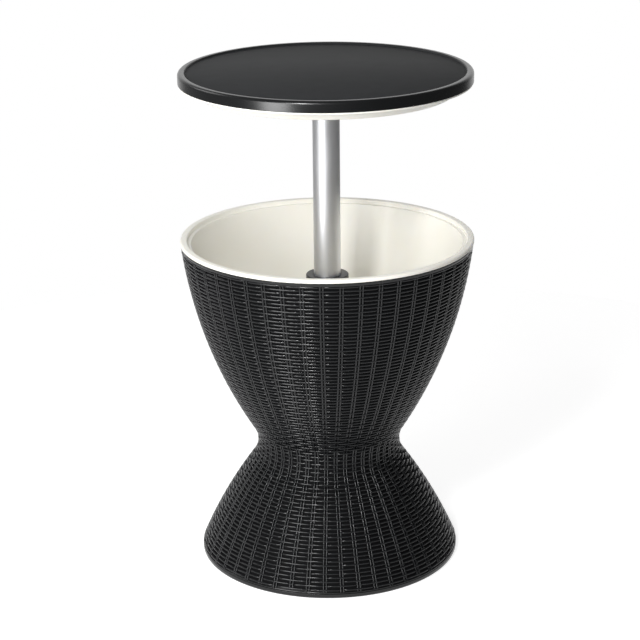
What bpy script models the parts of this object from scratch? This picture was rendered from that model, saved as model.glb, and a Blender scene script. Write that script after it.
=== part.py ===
"""Round patio table with an ice tub under a top that lifts on a sliding pole.

Metres, +Z up. The origin is on the ground under the middle of the table, and -Y is the front.
The top is drawn raised. It slides down inside the guide tube until the lid closes the tub,
and a short twist at either end of that travel turns its lugs into locking pockets.
"""

import math

import bmesh
import bpy
import numpy as np
from mathutils import Matrix, Vector

# Outline of the woven body
rim_height = 0.5594
rim_radius = 0.2444
waist_height = 0.200
waist_radius = 0.1213
waist_curve_radius = 0.0538
bucket_waist_angle = math.radians(32.1)
skirt_waist_angle = math.radians(36.2)
foot_radius = 0.2209
hoop_height = 0.0117
hoop_corner = 0.004
foot_ring_width = 0.010
shell_wall = 0.003

# Rows of the woven relief
bucket_row_pitch = 0.00645
skirt_row_pitch = 0.0068
weave_relief = 0.0018
plain_band_height = 0.0021
bead_height = 0.0015
plain_band_height = 0.0032

# Clearances
seat_gap = 0.0003
screw_gap = 0.0003
running_gap = 0.0003
drain_gap = 0.0004
merge_distance = 0.00001
overrun = 0.002
weld_depth = 0.0015

# Table top and lid
open_height = 0.840
table_radius = 0.240
table_rim_height = 0.018
table_wall = 0.003
tray_depth = 0.003
lip_width = 0.0105
lip_slope_width = 0.0018
lip_inner_corner = 0.0033
lip_outer_corner = 0.0052
plug_depth = 0.0175
plug_draft = 0.0115
plug_corner = 0.004
lid_wall = 0.002
lid_flange_inset = 0.0015
lid_flange_width = 0.017
lid_boss_radius = 0.005
lid_screw_inset = 0.025
lid_screw_count = 6
lid_screw_bite = 0.014

# Inner tub
tub_wall = 0.0025
tub_lip_height = 0.0078
tub_ledge_width = 0.012
tub_ledge_drop = 0.0075
tub_seat_width = 0.006
tub_rim_corner = 0.003
tub_floor_height = 0.232
tub_floor_radius = 0.1145
tub_floor_corner = 0.014
tub_wall_angle = math.radians(29.5)
column_height = 0.254
column_draft = 0.005
column_corner = 0.006
column_gap = 0.0005

# Pole, guide tube and collar
pole_radius = 0.0225
pole_wall = 0.0015
guide_wall = 0.0062
guide_stand_out = 0.002
guide_ground_clearance = 0.014
guide_flange_radius = 0.055
guide_flange_height = 0.004
key_width = 0.0074
key_reach = 0.0024
key_side_gap = 0.0003
key_end_gap = 0.0007
end_cap_wall = 0.0025
end_cap_skirt = 0.012
end_cap_hole_radius = 0.004
wiper_height = 0.002
wiper_width = 0.005
collar_top_height = 0.003
collar_skirt_height = 0.020
collar_wall = 0.003
collar_skirt_gap = 0.0006

# Twist lock and foot of the pole
twist_range = math.radians(35)
twist_clearance = math.radians(1)
foot_end_clearance = 0.004
spigot_height = 0.030
lug_height = 0.012
neck_radius = 0.012
glide_height = 0.018
foot_washer_radius = 0.018
foot_washer_height = 0.002
foot_pin_radius = 0.0025
foot_pin_height = 0.014
key_root_depth = 0.004

# Socket under the lid
socket_flange_radius = 0.050
socket_flange_height = 0.004
socket_hub_wall = 0.005
socket_hub_height = 0.032
socket_corner = 0.003
socket_screw_circle = 0.040
socket_screw_count = 4
socket_screw_bite = 0.016
socket_pin_radius = 0.0025

# Screws, nuts and the posts that take them
small_screw_radius = 0.00175
small_screw_head_radius = 0.0038
small_screw_head_height = 0.0024
large_screw_radius = 0.0025
large_screw_head_radius = 0.0046
large_screw_head_height = 0.003
foot_screw_radius = 0.003
foot_screw_head_radius = 0.0058
foot_screw_head_height = 0.0035
foot_screw_bite = 0.012
hub_screw_circle = 0.044
hub_screw_count = 4
hub_post_radius = 0.0065
hub_screw_bite = 0.016
waist_screw_circle = 0.095
waist_screw_count = 4
waist_boss_radius = 0.006
waist_boss_height = 0.014
waist_screw_bite = 0.010

# Drain in the tub floor
drain_offset = 0.074
drain_spout_radius = 0.011
drain_bore_radius = 0.0085
drain_spout_length = 0.060
drain_cup_depth = 0.005
drain_cup_radius = 0.022
drain_flange_radius = 0.019
drain_flange_height = 0.0025
drain_gasket_radius = 0.018
drain_gasket_height = 0.0012
drain_nut_radius = 0.0180
drain_nut_height = 0.008
plug_head_radius = 0.0125
plug_head_height = 0.003
plug_stem_length = 0.018
plug_neck_radius = 0.0045
plug_neck_height = 0.007
plug_knob_radius = 0.0085
plug_knob_height = 0.005

# How finely round shapes are divided
turned_steps = 32
tube_steps = 24
small_steps = 16
screw_steps = 8
corner_steps = 2
side_steps = 5
waist_steps = 3
pocket_steps = 5
hexagon_sides = 6
outline_steps = 200
smooth_angle = math.radians(35)
quarter_turn = math.pi / 2
eighth_turn = math.pi / 4

# Heights worked out from the sizes above
bucket_top = rim_height - tub_lip_height - seat_gap
bucket_bottom = waist_height + seat_gap
bucket_deck_top = bucket_bottom + shell_wall
skirt_deck_bottom = waist_height - shell_wall
skirt_bottom = open_height - table_rim_height
tray_height = open_height - tray_depth
plate_bottom = tray_height - table_wall
lid_flange_bottom = skirt_bottom - seat_gap - lid_wall
lid_bottom = skirt_bottom - plug_depth
lid_inside = lid_bottom + lid_wall
flange_radius = table_radius - lid_flange_inset
plug_top_radius = flange_radius - lid_flange_width
plug_bottom_radius = plug_top_radius - plug_draft
lid_screw_circle = plug_bottom_radius - lid_screw_inset
travel = lid_flange_bottom - seat_gap - rim_height
tub_seat_height = rim_height - tub_ledge_drop
tub_underside = tub_floor_height - tub_wall
column_top = tub_floor_height + column_height

# Radii and levels of the guide and the pole's foot
guide_bore = pole_radius + running_gap
guide_radius = guide_bore + guide_wall
guide_top = column_top + guide_stand_out
guide_bottom = guide_ground_clearance
guide_flange_top = skirt_deck_bottom - seat_gap
guide_flange_bottom = guide_flange_top - guide_flange_height
column_radius = guide_radius + column_gap + tub_wall
hub_hole_radius = guide_radius + column_gap
key_radius = pole_radius + key_reach
groove_radius = key_radius + key_end_gap
groove_width = key_width + 2 * key_side_gap
foot_stack = (
    seat_gap + lug_height + running_gap + glide_height + running_gap
    + seat_gap + foot_washer_height + seat_gap + foot_screw_head_height
)
pole_bottom = guide_bottom + foot_end_clearance + foot_stack + travel
pole_top = lid_bottom - seat_gap
lug_top = pole_bottom - seat_gap
lug_bottom = lug_top - lug_height
glide_top = lug_bottom - running_gap
glide_bottom = glide_top - glide_height
neck_bottom = glide_bottom - running_gap
foot_washer_top = neck_bottom - seat_gap
foot_washer_bottom = foot_washer_top - foot_washer_height
lug_half_angle = math.asin(key_width / 2 / pole_radius)
drain_cup_floor = tub_floor_height - drain_cup_depth
drain_flange_bottom = drain_cup_floor + seat_gap + drain_gasket_height + seat_gap
drain_flange_top = drain_flange_bottom + drain_flange_height


def clear_scene():
    """Remove every object that the scene starts with."""
    for obj in list(bpy.data.objects):
        bpy.data.objects.remove(obj, do_unlink=True)


def new_collection(name):
    """Collection of that name under the scene."""
    collection = bpy.data.collections.new(name)
    bpy.context.scene.collection.children.link(collection)
    return collection


def linear(channel):
    """Linear value of one sRGB channel between 0 and 1."""
    if channel <= 0.04045:
        return channel / 12.92
    return ((channel + 0.055) / 1.055) ** 2.4


def surface(name, hex_colour, roughness, metallic=0.0):
    """Principled material with an sRGB colour."""
    material = bpy.data.materials.new(name)
    material.use_nodes = True
    shader = material.node_tree.nodes["Principled BSDF"]
    channels = [int(hex_colour[i:i + 2], 16) / 255 for i in (1, 3, 5)]
    shader.inputs["Base Color"].default_value = [linear(c) for c in channels] + [1.0]
    shader.inputs["Roughness"].default_value = roughness
    shader.inputs["Metallic"].default_value = metallic
    return material


clear_scene()
parts = new_collection("patio_cooler_table")
tools = new_collection("cutting_tools")
black_resin = surface("black_resin", "#2b2c2e", 0.42)
black_smooth_resin = surface("black_smooth_resin", "#3e3f41", 0.55)
white_resin = surface("white_resin", "#eeece6", 0.38)
grey_resin = surface("grey_resin", "#8b8d8f", 0.5)
satin_aluminium = surface("satin_aluminium", "#c9cbcd", 0.32, 1.0)
zinc_steel = surface("zinc_steel", "#a8aaac", 0.35, 1.0)
soft_rubber = surface("soft_rubber", "#202122", 0.8)


def place_object(name, mesh, material, place=(0, 0, 0)):
    """Object of the table, in its material, at a place."""
    obj = bpy.data.objects.new(name, mesh)
    parts.objects.link(obj)
    obj.location = place
    obj.data.materials.append(material)
    return obj


def place_tool(name, mesh):
    """Object that only cuts or is joined into another."""
    obj = bpy.data.objects.new(name, mesh)
    tools.objects.link(obj)
    obj.hide_render = True
    obj.display_type = "WIRE"
    return obj


def rounded(corners, steps=corner_steps):
    """Outline through (radius, height, corner radius) points, each corner turned into an arc."""
    outline = []
    for index, (radius, height, corner) in enumerate(corners):
        here = Vector((radius, height))
        if corner == 0:
            outline.append(here)
            continue
        back = (Vector(corners[index - 1][:2]) - here).normalized()
        ahead = (Vector(corners[index + 1][:2]) - here).normalized()
        half = back.angle(ahead) / 2
        reach = corner / math.tan(half)
        centre = here + (back + ahead).normalized() * corner / math.sin(half)
        for step in range(steps + 1):
            chord = (here + back * reach).lerp(here + ahead * reach, step / steps)
            outline.append(centre + (chord - centre).normalized() * corner)
    return outline


def turned(name, outline, material, wall=0.0, closed=False, steps=turned_steps, place=(0, 0, 0)):
    """Outline of (radius, height) points spun about the vertical axis.

    An outline with a wall is the seen side of a shell, and a closed one is a ring's section.
    """
    mesh = bpy.data.meshes.new(name)
    points = [(radius, 0, height) for radius, height in outline]
    edges = [(index, index + 1) for index in range(len(points) - 1)]
    if closed:
        edges.append((len(points) - 1, 0))
    mesh.from_pydata(points, edges, [])
    obj = place_object(name, mesh, material, place)
    screw = obj.modifiers.new("Turn", "SCREW")
    screw.steps = steps
    screw.render_steps = steps
    screw.use_merge_vertices = True
    screw.merge_threshold = merge_distance
    if wall:
        shell = obj.modifiers.new("Wall", "SOLIDIFY")
        shell.thickness = wall
        shell.offset = -1
        shell.use_even_offset = True
    return obj


def ring_places(radius, count, start=0.0):
    """Places spaced evenly round a circle."""
    angles = [start + index * 2 * math.pi / count for index in range(count)]
    return [(radius * math.cos(angle), radius * math.sin(angle)) for angle in angles]


def upright_rods(name, radius, low, high, places, steps=screw_steps):
    """Tool of upright rods that stand at the given places."""
    mesh = bpy.data.meshes.new(name)
    build = bmesh.new()
    for x, y in places:
        middle = Matrix.Translation((x, y, (low + high) / 2))
        bmesh.ops.create_cone(
            build, cap_ends=True, segments=steps, radius1=radius, radius2=radius,
            depth=high - low, matrix=middle,
        )
    build.to_mesh(mesh)
    build.free()
    return place_tool(name, mesh)


def cross_rod_mesh(name, radius, length):
    """Rod that lies along the Y axis, centred on its origin."""
    mesh = bpy.data.meshes.new(name)
    build = bmesh.new()
    bmesh.ops.create_cone(
        build, cap_ends=True, segments=screw_steps, radius1=radius, radius2=radius,
        depth=length, matrix=Matrix.Rotation(quarter_turn, 4, "X"),
    )
    build.to_mesh(mesh)
    build.free()
    return mesh


def blocks(name, near, far, width, low, high):
    """Tool of two blocks that reach out along +X and -X."""
    mesh = bpy.data.meshes.new(name)
    build = bmesh.new()
    size = Matrix.Diagonal((far - near, width, high - low, 1))
    for side in (1, -1):
        middle = Matrix.Translation((side * (near + far) / 2, 0, (low + high) / 2))
        bmesh.ops.create_cube(build, size=1, matrix=middle @ size)
    build.to_mesh(mesh)
    build.free()
    return place_tool(name, mesh)


def sectors(name, near, far, sweep, low, high):
    """Tool of two upright pie slices that start at +X and -X and turn anticlockwise."""
    mesh = bpy.data.meshes.new(name)
    build = bmesh.new()
    for start in (0, math.pi):
        angles = [start + sweep * step / pocket_steps for step in range(pocket_steps + 1)]
        rim = [(far * math.cos(angle), far * math.sin(angle), low) for angle in angles]
        core = [(near * math.cos(angle), near * math.sin(angle), low) for angle in reversed(angles)]
        face = build.faces.new([build.verts.new(point) for point in rim + core])
        raised = bmesh.ops.extrude_face_region(build, geom=[face])
        risen = [item for item in raised["geom"] if isinstance(item, bmesh.types.BMVert)]
        bmesh.ops.translate(build, verts=risen, vec=(0, 0, high - low))
    bmesh.ops.recalc_face_normals(build, faces=build.faces)
    build.to_mesh(mesh)
    build.free()
    return place_tool(name, mesh)


def boolean(obj, tool, operation):
    """Cut or join a tool into an object."""
    modifier = obj.modifiers.new(tool.name, "BOOLEAN")
    modifier.operation = operation
    modifier.solver = "EXACT"
    modifier.object = tool


def cut(obj, tool):
    boolean(obj, tool, "DIFFERENCE")


def join(obj, tool):
    boolean(obj, tool, "UNION")


def side_radius(start, lean, end, height):
    """Radius at a height on the arc that leaves start, leaning out by lean, and runs to end."""
    run = end[0] - start[0]
    rise = abs(end[1] - start[1])
    bend = lean - math.atan2(run, rise)
    curve = math.hypot(run, rise) / (2 * math.sin(bend))
    sine = math.sin(lean) - abs(height - start[1]) / curve
    return start[0] + curve * (math.sqrt(1 - sine * sine) - math.cos(lean))


def waist_end(angle):
    """Radius and rise of the waist's curve where it leans out by an angle."""
    radius = waist_radius + waist_curve_radius * (1 - math.cos(angle))
    return radius, waist_curve_radius * math.sin(angle)


def outline_radius(height):
    """Outer radius of the woven body at a height above the ground."""
    upper_radius, upper_rise = waist_end(bucket_waist_angle)
    lower_radius, lower_rise = waist_end(skirt_waist_angle)
    rise = height - waist_height
    if rise > upper_rise:
        start = (upper_radius, waist_height + upper_rise)
        return side_radius(start, bucket_waist_angle, (rim_radius, rim_height), height)
    if rise < -lower_rise:
        start = (lower_radius, waist_height - lower_rise)
        return side_radius(start, skirt_waist_angle, (foot_radius, hoop_height), height)
    inner = math.sqrt(waist_curve_radius ** 2 - rise ** 2)
    return waist_radius + waist_curve_radius - inner


def inside_radius(height, depth):
    """Radius at a height on the surface that lies a depth inside the outline."""
    slope = (outline_radius(height + merge_distance) - outline_radius(height)) / merge_distance
    return outline_radius(height) - depth * math.hypot(1, slope)


def inside_points(low, high, steps):
    """Points of the shells' inner face from one height up to another, both ends included."""
    heights = [low + (high - low) * step / steps for step in range(steps + 1)]
    return [(inside_radius(height, shell_wall), height, 0) for height in heights]


def woven_points(high, low, pitch):
    """Points down a woven band: rows of one height along the outline, with a groove between them."""
    heights = np.linspace(high, low, outline_steps + 1)
    radii = [outline_radius(height) for height in heights]
    lengths = np.append(0, np.cumsum(np.hypot(np.diff(radii), np.diff(heights))))
    row_count = round(lengths[-1] / pitch)
    points = []
    for half_row in range(2 * row_count + 1):
        height = float(np.interp(lengths[-1] * half_row / (2 * row_count), lengths, heights))
        depth = 0 if half_row % 2 else weave_relief
        points.append((inside_radius(height, depth), height, 0))
    return points


def waist_screw_places():
    return ring_places(waist_screw_circle, waist_screw_count, eighth_turn)


def hub_screw_places():
    return ring_places(hub_screw_circle, hub_screw_count, eighth_turn)


def machine_screws(name, places, head_top, tip, radius, head_radius, head_height):
    """Screws that point up, with their heads below, one object at each place."""
    outline = [
        (0, tip),
        (radius, tip),
        (radius, head_top),
        (head_radius, head_top),
        (head_radius, head_top - head_height),
        (0, head_top - head_height),
    ]
    screws = []
    for number, (x, y) in enumerate(places, start=1):
        node = name if len(places) == 1 else f"{name}_{number}"
        screws.append(turned(node, outline, zinc_steel, steps=screw_steps, place=(x, y, 0)))
    return screws


def make_base_skirt():
    """Flared woven skirt, open below, with a deck at the waist that carries the bucket."""
    curve_bottom = waist_height - waist_end(skirt_waist_angle)[1]
    foot_inside = foot_radius - foot_ring_width
    corners = [(hub_hole_radius, waist_height, 0)]
    corners += woven_points(waist_height, hoop_height + bead_height, skirt_row_pitch)
    corners += [
        (foot_radius, hoop_height, 0),
        (foot_radius, 0, hoop_corner),
        (foot_inside, 0, 0),
        (foot_inside, shell_wall, 0),
        (foot_radius - shell_wall, shell_wall, 0),
    ]
    corners += inside_points(hoop_height, curve_bottom, side_steps)
    corners += inside_points(curve_bottom, skirt_deck_bottom, waist_steps)[1:]
    corners.append((hub_hole_radius, skirt_deck_bottom, 0))
    return turned("base_skirt", rounded(corners), black_resin, closed=True)


def make_bucket_shell():
    """Outer woven wall of the bucket, closed at the waist by its own deck."""
    curve_top = waist_height + waist_end(bucket_waist_angle)[1]
    band_bottom = bucket_top - plain_band_height
    corners = [
        (outline_radius(bucket_top), bucket_top, 0),
        (outline_radius(band_bottom), band_bottom, 0),
    ]
    corners += woven_points(band_bottom, bucket_bottom, bucket_row_pitch)[1:]
    corners += [
        (hub_hole_radius, bucket_bottom, 0),
        (hub_hole_radius, bucket_deck_top, 0),
    ]
    corners += inside_points(bucket_deck_top, curve_top, waist_steps)
    corners += inside_points(curve_top, bucket_top, side_steps)[1:]
    shell = turned("bucket_shell", rounded(corners), black_resin, closed=True)
    boss_low = bucket_deck_top - weld_depth
    boss_high = bucket_deck_top + waist_boss_height
    bosses = upright_rods("waist_bosses", waist_boss_radius, boss_low, boss_high, waist_screw_places())
    join(shell, bosses)
    return shell


def tub_wall_points():
    """Inner face of the tub's wall, from the floor up to the seat inside the rim."""
    start = (tub_floor_radius, tub_floor_height)
    end = (rim_radius - tub_ledge_width - tub_seat_width, tub_seat_height)
    points = [(*start, tub_floor_corner)]
    for step in range(1, side_steps + 1):
        height = start[1] + (end[1] - start[1]) * step / side_steps
        points.append((side_radius(start, tub_wall_angle, end, height), height, 0))
    return points


def make_inner_tub():
    """White tub with a hollow column in the middle, posts below and a sunk place for the drain."""
    ledge_radius = rim_radius - tub_ledge_width
    corners = [
        (column_radius, column_top, 0),
        (column_radius + column_draft, tub_floor_height, column_corner),
    ]
    corners += tub_wall_points()
    corners += [
        (ledge_radius, tub_seat_height, 0),
        (ledge_radius, rim_height, tub_rim_corner),
        (rim_radius, rim_height, tub_rim_corner),
        (rim_radius, rim_height - tub_lip_height, 0),
    ]
    tub = turned("inner_tub", rounded(corners), white_resin, wall=tub_wall)
    drain_place = [(0, drain_offset)]
    cup_radius = drain_cup_radius + tub_wall
    cup_bottom = drain_cup_floor - tub_wall
    post_low = bucket_deck_top + seat_gap
    post_high = tub_underside + weld_depth
    join(tub, upright_rods("hub_posts", hub_post_radius, post_low, post_high, hub_screw_places()))
    join(tub, upright_rods("drain_cup", cup_radius, cup_bottom, post_high, drain_place, small_steps))
    cup_mouth = tub_floor_height + overrun
    cup_inside = upright_rods(
        "drain_cup_inside", drain_cup_radius, drain_cup_floor, cup_mouth, drain_place, small_steps,
    )
    cut(tub, cup_inside)
    return tub


def make_guide_tube():
    """Tube that the pole runs in, with a flange under the waist, grooves and locking pockets."""
    outline = [
        (guide_bore, guide_top),
        (guide_radius, guide_top),
        (guide_radius, guide_flange_top),
        (guide_flange_radius, guide_flange_top),
        (guide_flange_radius, guide_flange_bottom),
        (guide_radius, guide_flange_bottom),
        (guide_radius, guide_bottom),
        (guide_bore, guide_bottom),
    ]
    guide = turned("guide_tube", outline, grey_resin, closed=True, steps=tube_steps)
    near = guide_bore - key_root_depth
    groove_low = guide_bottom - overrun
    cut(guide, blocks("key_grooves", near, groove_radius, groove_width, groove_low, pole_bottom))
    sweep = twist_range + lug_half_angle + twist_clearance
    for label, drop in (("raised", 0), ("lowered", travel)):
        low = lug_bottom - seat_gap - drop
        high = lug_top + seat_gap - drop
        cut(guide, sectors(f"{label}_pockets", near, groove_radius, sweep, low, high))
    return guide


def make_guide_end_cap():
    """Cap on the lower end of the guide tube, with a hole that lets water out."""
    floor_top = guide_bottom - seat_gap
    floor_bottom = floor_top - end_cap_wall
    skirt_top = guide_bottom + end_cap_skirt
    skirt_inside = guide_radius + seat_gap
    skirt_outside = skirt_inside + end_cap_wall
    outline = [
        (end_cap_hole_radius, floor_top),
        (skirt_inside, floor_top),
        (skirt_inside, skirt_top),
        (skirt_outside, skirt_top),
        (skirt_outside, floor_bottom),
        (end_cap_hole_radius, floor_bottom),
    ]
    turned("guide_end_cap", outline, black_smooth_resin, closed=True, steps=tube_steps)


def make_column_collar():
    """Rubber wiper on the guide tube's top, and the collar that covers both and the column."""
    wiper_low = guide_top + seat_gap
    wiper_high = wiper_low + wiper_height
    wiper = [
        (guide_bore, wiper_high),
        (guide_bore + wiper_width, wiper_high),
        (guide_bore + wiper_width, wiper_low),
        (guide_bore, wiper_low),
    ]
    turned("pole_wiper", wiper, soft_rubber, closed=True, steps=tube_steps)
    collar_low = wiper_high + seat_gap
    collar_high = collar_low + collar_top_height
    collar_bore = guide_bore + running_gap
    collar_inside = column_radius + collar_skirt_gap
    collar_outside = collar_inside + collar_wall
    collar = [
        (collar_bore, collar_high, 0),
        (collar_outside, collar_high, collar_top_height / 2),
        (collar_outside, collar_high - collar_skirt_height, 0),
        (collar_inside, collar_high - collar_skirt_height, 0),
        (collar_inside, collar_low, 0),
        (collar_bore, collar_low, 0),
    ]
    turned("column_collar", rounded(collar), black_smooth_resin, closed=True, steps=tube_steps)


def make_drain(skirt, shell, tub, drain_lift):
    """Drain spout through tub and decks, its gasket and nut, and the plug that lifts out of it."""
    place = (0, drain_offset, 0)
    spout_bottom = drain_flange_top - drain_spout_length
    hole_radius = drain_spout_radius + drain_gap
    hole = upright_rods(
        "drain_hole", hole_radius, spout_bottom, tub_floor_height, [place[:2]], small_steps,
    )
    for holed in (skirt, shell, tub):
        cut(holed, hole)
    seat = [
        (drain_bore_radius, drain_flange_top),
        (drain_flange_radius, drain_flange_top),
        (drain_flange_radius, drain_flange_bottom),
        (drain_spout_radius, drain_flange_bottom),
        (drain_spout_radius, spout_bottom),
        (drain_bore_radius, spout_bottom),
    ]
    turned("drain_seat", seat, grey_resin, closed=True, steps=small_steps, place=place)
    gasket_low = drain_cup_floor + seat_gap
    gasket_high = gasket_low + drain_gasket_height
    gasket = [
        (hole_radius, gasket_high),
        (drain_gasket_radius, gasket_high),
        (drain_gasket_radius, gasket_low),
        (hole_radius, gasket_low),
    ]
    turned("drain_gasket", gasket, soft_rubber, closed=True, steps=small_steps, place=place)
    make_drain_nut(place, hole_radius)
    make_drain_plug(drain_lift)


def make_drain_nut(place, bore_radius):
    """Six-sided nut that clamps the drain spout under the skirt's deck."""
    top = skirt_deck_bottom - seat_gap
    mesh = bpy.data.meshes.new("drain_nut")
    build = bmesh.new()
    bmesh.ops.create_cone(
        build, cap_ends=True, segments=hexagon_sides, radius1=drain_nut_radius,
        radius2=drain_nut_radius, depth=drain_nut_height,
        matrix=Matrix.Translation((0, 0, top - drain_nut_height / 2)),
    )
    build.to_mesh(mesh)
    build.free()
    nut = place_object("drain_nut", mesh, grey_resin, place)
    low = top - drain_nut_height - overrun
    bore = upright_rods("drain_nut_bore", bore_radius, low, top + overrun, [place[:2]], small_steps)
    cut(nut, bore)


def make_drain_plug(drain_lift):
    """Stopper with a grip knob, seated in the drain."""
    head_bottom = drain_flange_top + seat_gap
    head_top = head_bottom + plug_head_height
    knob_bottom = head_top + plug_neck_height
    knob_top = knob_bottom + plug_knob_height
    stem_radius = drain_bore_radius - running_gap
    plug = [
        (0, knob_top, 0),
        (plug_knob_radius, knob_top, plug_knob_height / 3),
        (plug_knob_radius, knob_bottom, plug_knob_height / 3),
        (plug_neck_radius, knob_bottom, 0),
        (plug_neck_radius, head_top, 0),
        (plug_head_radius, head_top, 0),
        (plug_head_radius, head_bottom, 0),
        (stem_radius, head_bottom, 0),
        (stem_radius, head_bottom - plug_stem_length, plug_head_height / 2),
        (0, head_bottom - plug_stem_length, 0),
    ]
    stopper = turned("drain_plug", rounded(plug), black_smooth_resin, steps=small_steps)
    stopper.parent = drain_lift


def make_waist_fasteners(skirt, shell, tub, guide):
    """Screws that join the two decks, and longer ones that clamp the guide tube and the tub."""
    head_top = skirt_deck_bottom - seat_gap
    tip = bucket_deck_top + waist_screw_bite
    hole_radius = small_screw_radius + screw_gap
    holes = upright_rods(
        "waist_screw_holes", hole_radius, head_top, tip + screw_gap, waist_screw_places(),
    )
    cut(skirt, holes)
    cut(shell, holes)
    machine_screws(
        "waist_screw", waist_screw_places(), head_top, tip, small_screw_radius,
        small_screw_head_radius, small_screw_head_height,
    )
    head_top = guide_flange_bottom - seat_gap
    tip = bucket_deck_top + hub_screw_bite
    hole_radius = large_screw_radius + screw_gap
    holes = upright_rods(
        "hub_screw_holes", hole_radius, head_top, tip + screw_gap, hub_screw_places(),
    )
    for holed in (skirt, shell, tub, guide):
        cut(holed, holes)
    machine_screws(
        "hub_screw", hub_screw_places(), head_top, tip, large_screw_radius,
        large_screw_head_radius, large_screw_head_height,
    )


def make_glide_ring(lift):
    """Ring round the neck of the pole's foot, keyed to the grooves so that it never turns."""
    bore = neck_radius + running_gap
    outline = [
        (bore, glide_top),
        (pole_radius, glide_top),
        (pole_radius, glide_bottom),
        (bore, glide_bottom),
    ]
    ring = turned("glide_ring", outline, black_smooth_resin, closed=True, steps=tube_steps)
    near = pole_radius - key_root_depth
    join(ring, blocks("glide_keys", near, key_radius, key_width, glide_bottom, glide_top))
    ring.parent = lift


def make_pole_foot():
    """Plug in the pole's lower end, with the lugs of the twist lock and a neck for the ring."""
    spigot_radius = pole_radius - pole_wall - seat_gap
    pilot_radius = foot_screw_radius + screw_gap
    pilot_top = neck_bottom + foot_screw_bite + screw_gap
    outline = [
        (0, pole_bottom + spigot_height),
        (spigot_radius, pole_bottom + spigot_height),
        (spigot_radius, lug_top),
        (pole_radius, lug_top),
        (pole_radius, lug_bottom),
        (neck_radius, lug_bottom),
        (neck_radius, neck_bottom),
        (pilot_radius, neck_bottom),
        (pilot_radius, pilot_top),
        (0, pilot_top),
    ]
    foot = turned("pole_foot", outline, grey_resin, steps=tube_steps)
    near = pole_radius - key_root_depth
    join(foot, blocks("lock_lugs", near, key_radius, key_width, lug_bottom, lug_top))
    washer = [
        (pilot_radius, foot_washer_top),
        (foot_washer_radius, foot_washer_top),
        (foot_washer_radius, foot_washer_bottom),
        (pilot_radius, foot_washer_bottom),
    ]
    plate = turned("foot_washer", washer, zinc_steel, closed=True, steps=small_steps)
    head_top = foot_washer_bottom - seat_gap
    bolts = machine_screws(
        "foot_screw", [(0, 0)], head_top, neck_bottom + foot_screw_bite, foot_screw_radius,
        foot_screw_head_radius, foot_screw_head_height,
    )
    return [foot, plate] + bolts


def make_cross_pin(name, radius, length, height, holed):
    """Pin that lies across the pole and holds the pieces it passes through together."""
    hole_length = length + 2 * overrun
    hole = place_tool(f"{name}_hole", cross_rod_mesh(f"{name}_hole", radius + screw_gap, hole_length))
    hole.location = (0, 0, height)
    for obj in holed:
        cut(obj, hole)
    mesh = cross_rod_mesh(name, radius, length)
    return place_object(name, mesh, zinc_steel, (0, 0, height))


def make_pole_and_socket():
    """Pole, its foot, and the flanged socket that holds its upper end under the lid."""
    inside = pole_radius - pole_wall
    outline = [
        (inside, pole_top),
        (pole_radius, pole_top),
        (pole_radius, pole_bottom),
        (inside, pole_bottom),
    ]
    pole = turned("pole", outline, satin_aluminium, closed=True, steps=tube_steps)
    socket_bore = pole_radius + seat_gap
    hub_radius = socket_bore + socket_hub_wall
    flange_bottom = pole_top - socket_flange_height
    hub_bottom = pole_top - socket_hub_height
    corners = [
        (socket_bore, pole_top, 0),
        (socket_flange_radius, pole_top, 0),
        (socket_flange_radius, flange_bottom, 0),
        (hub_radius, flange_bottom, socket_corner),
        (hub_radius, hub_bottom, 0),
        (socket_bore, hub_bottom, 0),
    ]
    socket = turned("pole_socket", rounded(corners), satin_aluminium, closed=True, steps=tube_steps)
    foot_pieces = make_pole_foot()
    foot_pin_length = 2 * (pole_radius - seat_gap)
    foot_pin = make_cross_pin(
        "foot_pin", foot_pin_radius, foot_pin_length, pole_bottom + foot_pin_height,
        (pole, foot_pieces[0]),
    )
    socket_pin_height = (hub_bottom + flange_bottom) / 2
    socket_pin_length = 2 * (hub_radius - seat_gap)
    socket_pin = make_cross_pin(
        "socket_pin", socket_pin_radius, socket_pin_length, socket_pin_height, (pole, socket),
    )
    return socket, [pole, socket, foot_pin, socket_pin] + foot_pieces


def make_tabletop():
    """Black top with a raised lip, a rounded shoulder and bosses underneath for the screws."""
    lip_inside = table_radius - lip_width
    corners = [
        (0, tray_height, 0),
        (lip_inside - lip_slope_width, tray_height, 0),
        (lip_inside, open_height, lip_inner_corner),
        (table_radius, open_height, lip_outer_corner),
        (table_radius, skirt_bottom, 0),
    ]
    top = turned("tabletop", rounded(corners), black_smooth_resin, wall=table_wall)
    low = lid_inside + seat_gap
    high = plate_bottom + weld_depth
    places = lid_screw_places() + socket_screw_places()
    join(top, upright_rods("lid_bosses", lid_boss_radius, low, high, places))
    return top


def make_lid_pan():
    """White underside of the top, which plugs the tub's mouth when the top is lowered."""
    corners = [
        (flange_radius, lid_flange_bottom, 0),
        (plug_top_radius, lid_flange_bottom, 0),
        (plug_bottom_radius, lid_bottom, plug_corner),
        (0, lid_bottom, 0),
    ]
    return turned("lid_pan", rounded(corners), white_resin, wall=lid_wall)


def lid_screw_places():
    return ring_places(lid_screw_circle, lid_screw_count)


def socket_screw_places():
    return ring_places(socket_screw_circle, socket_screw_count, eighth_turn)


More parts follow.
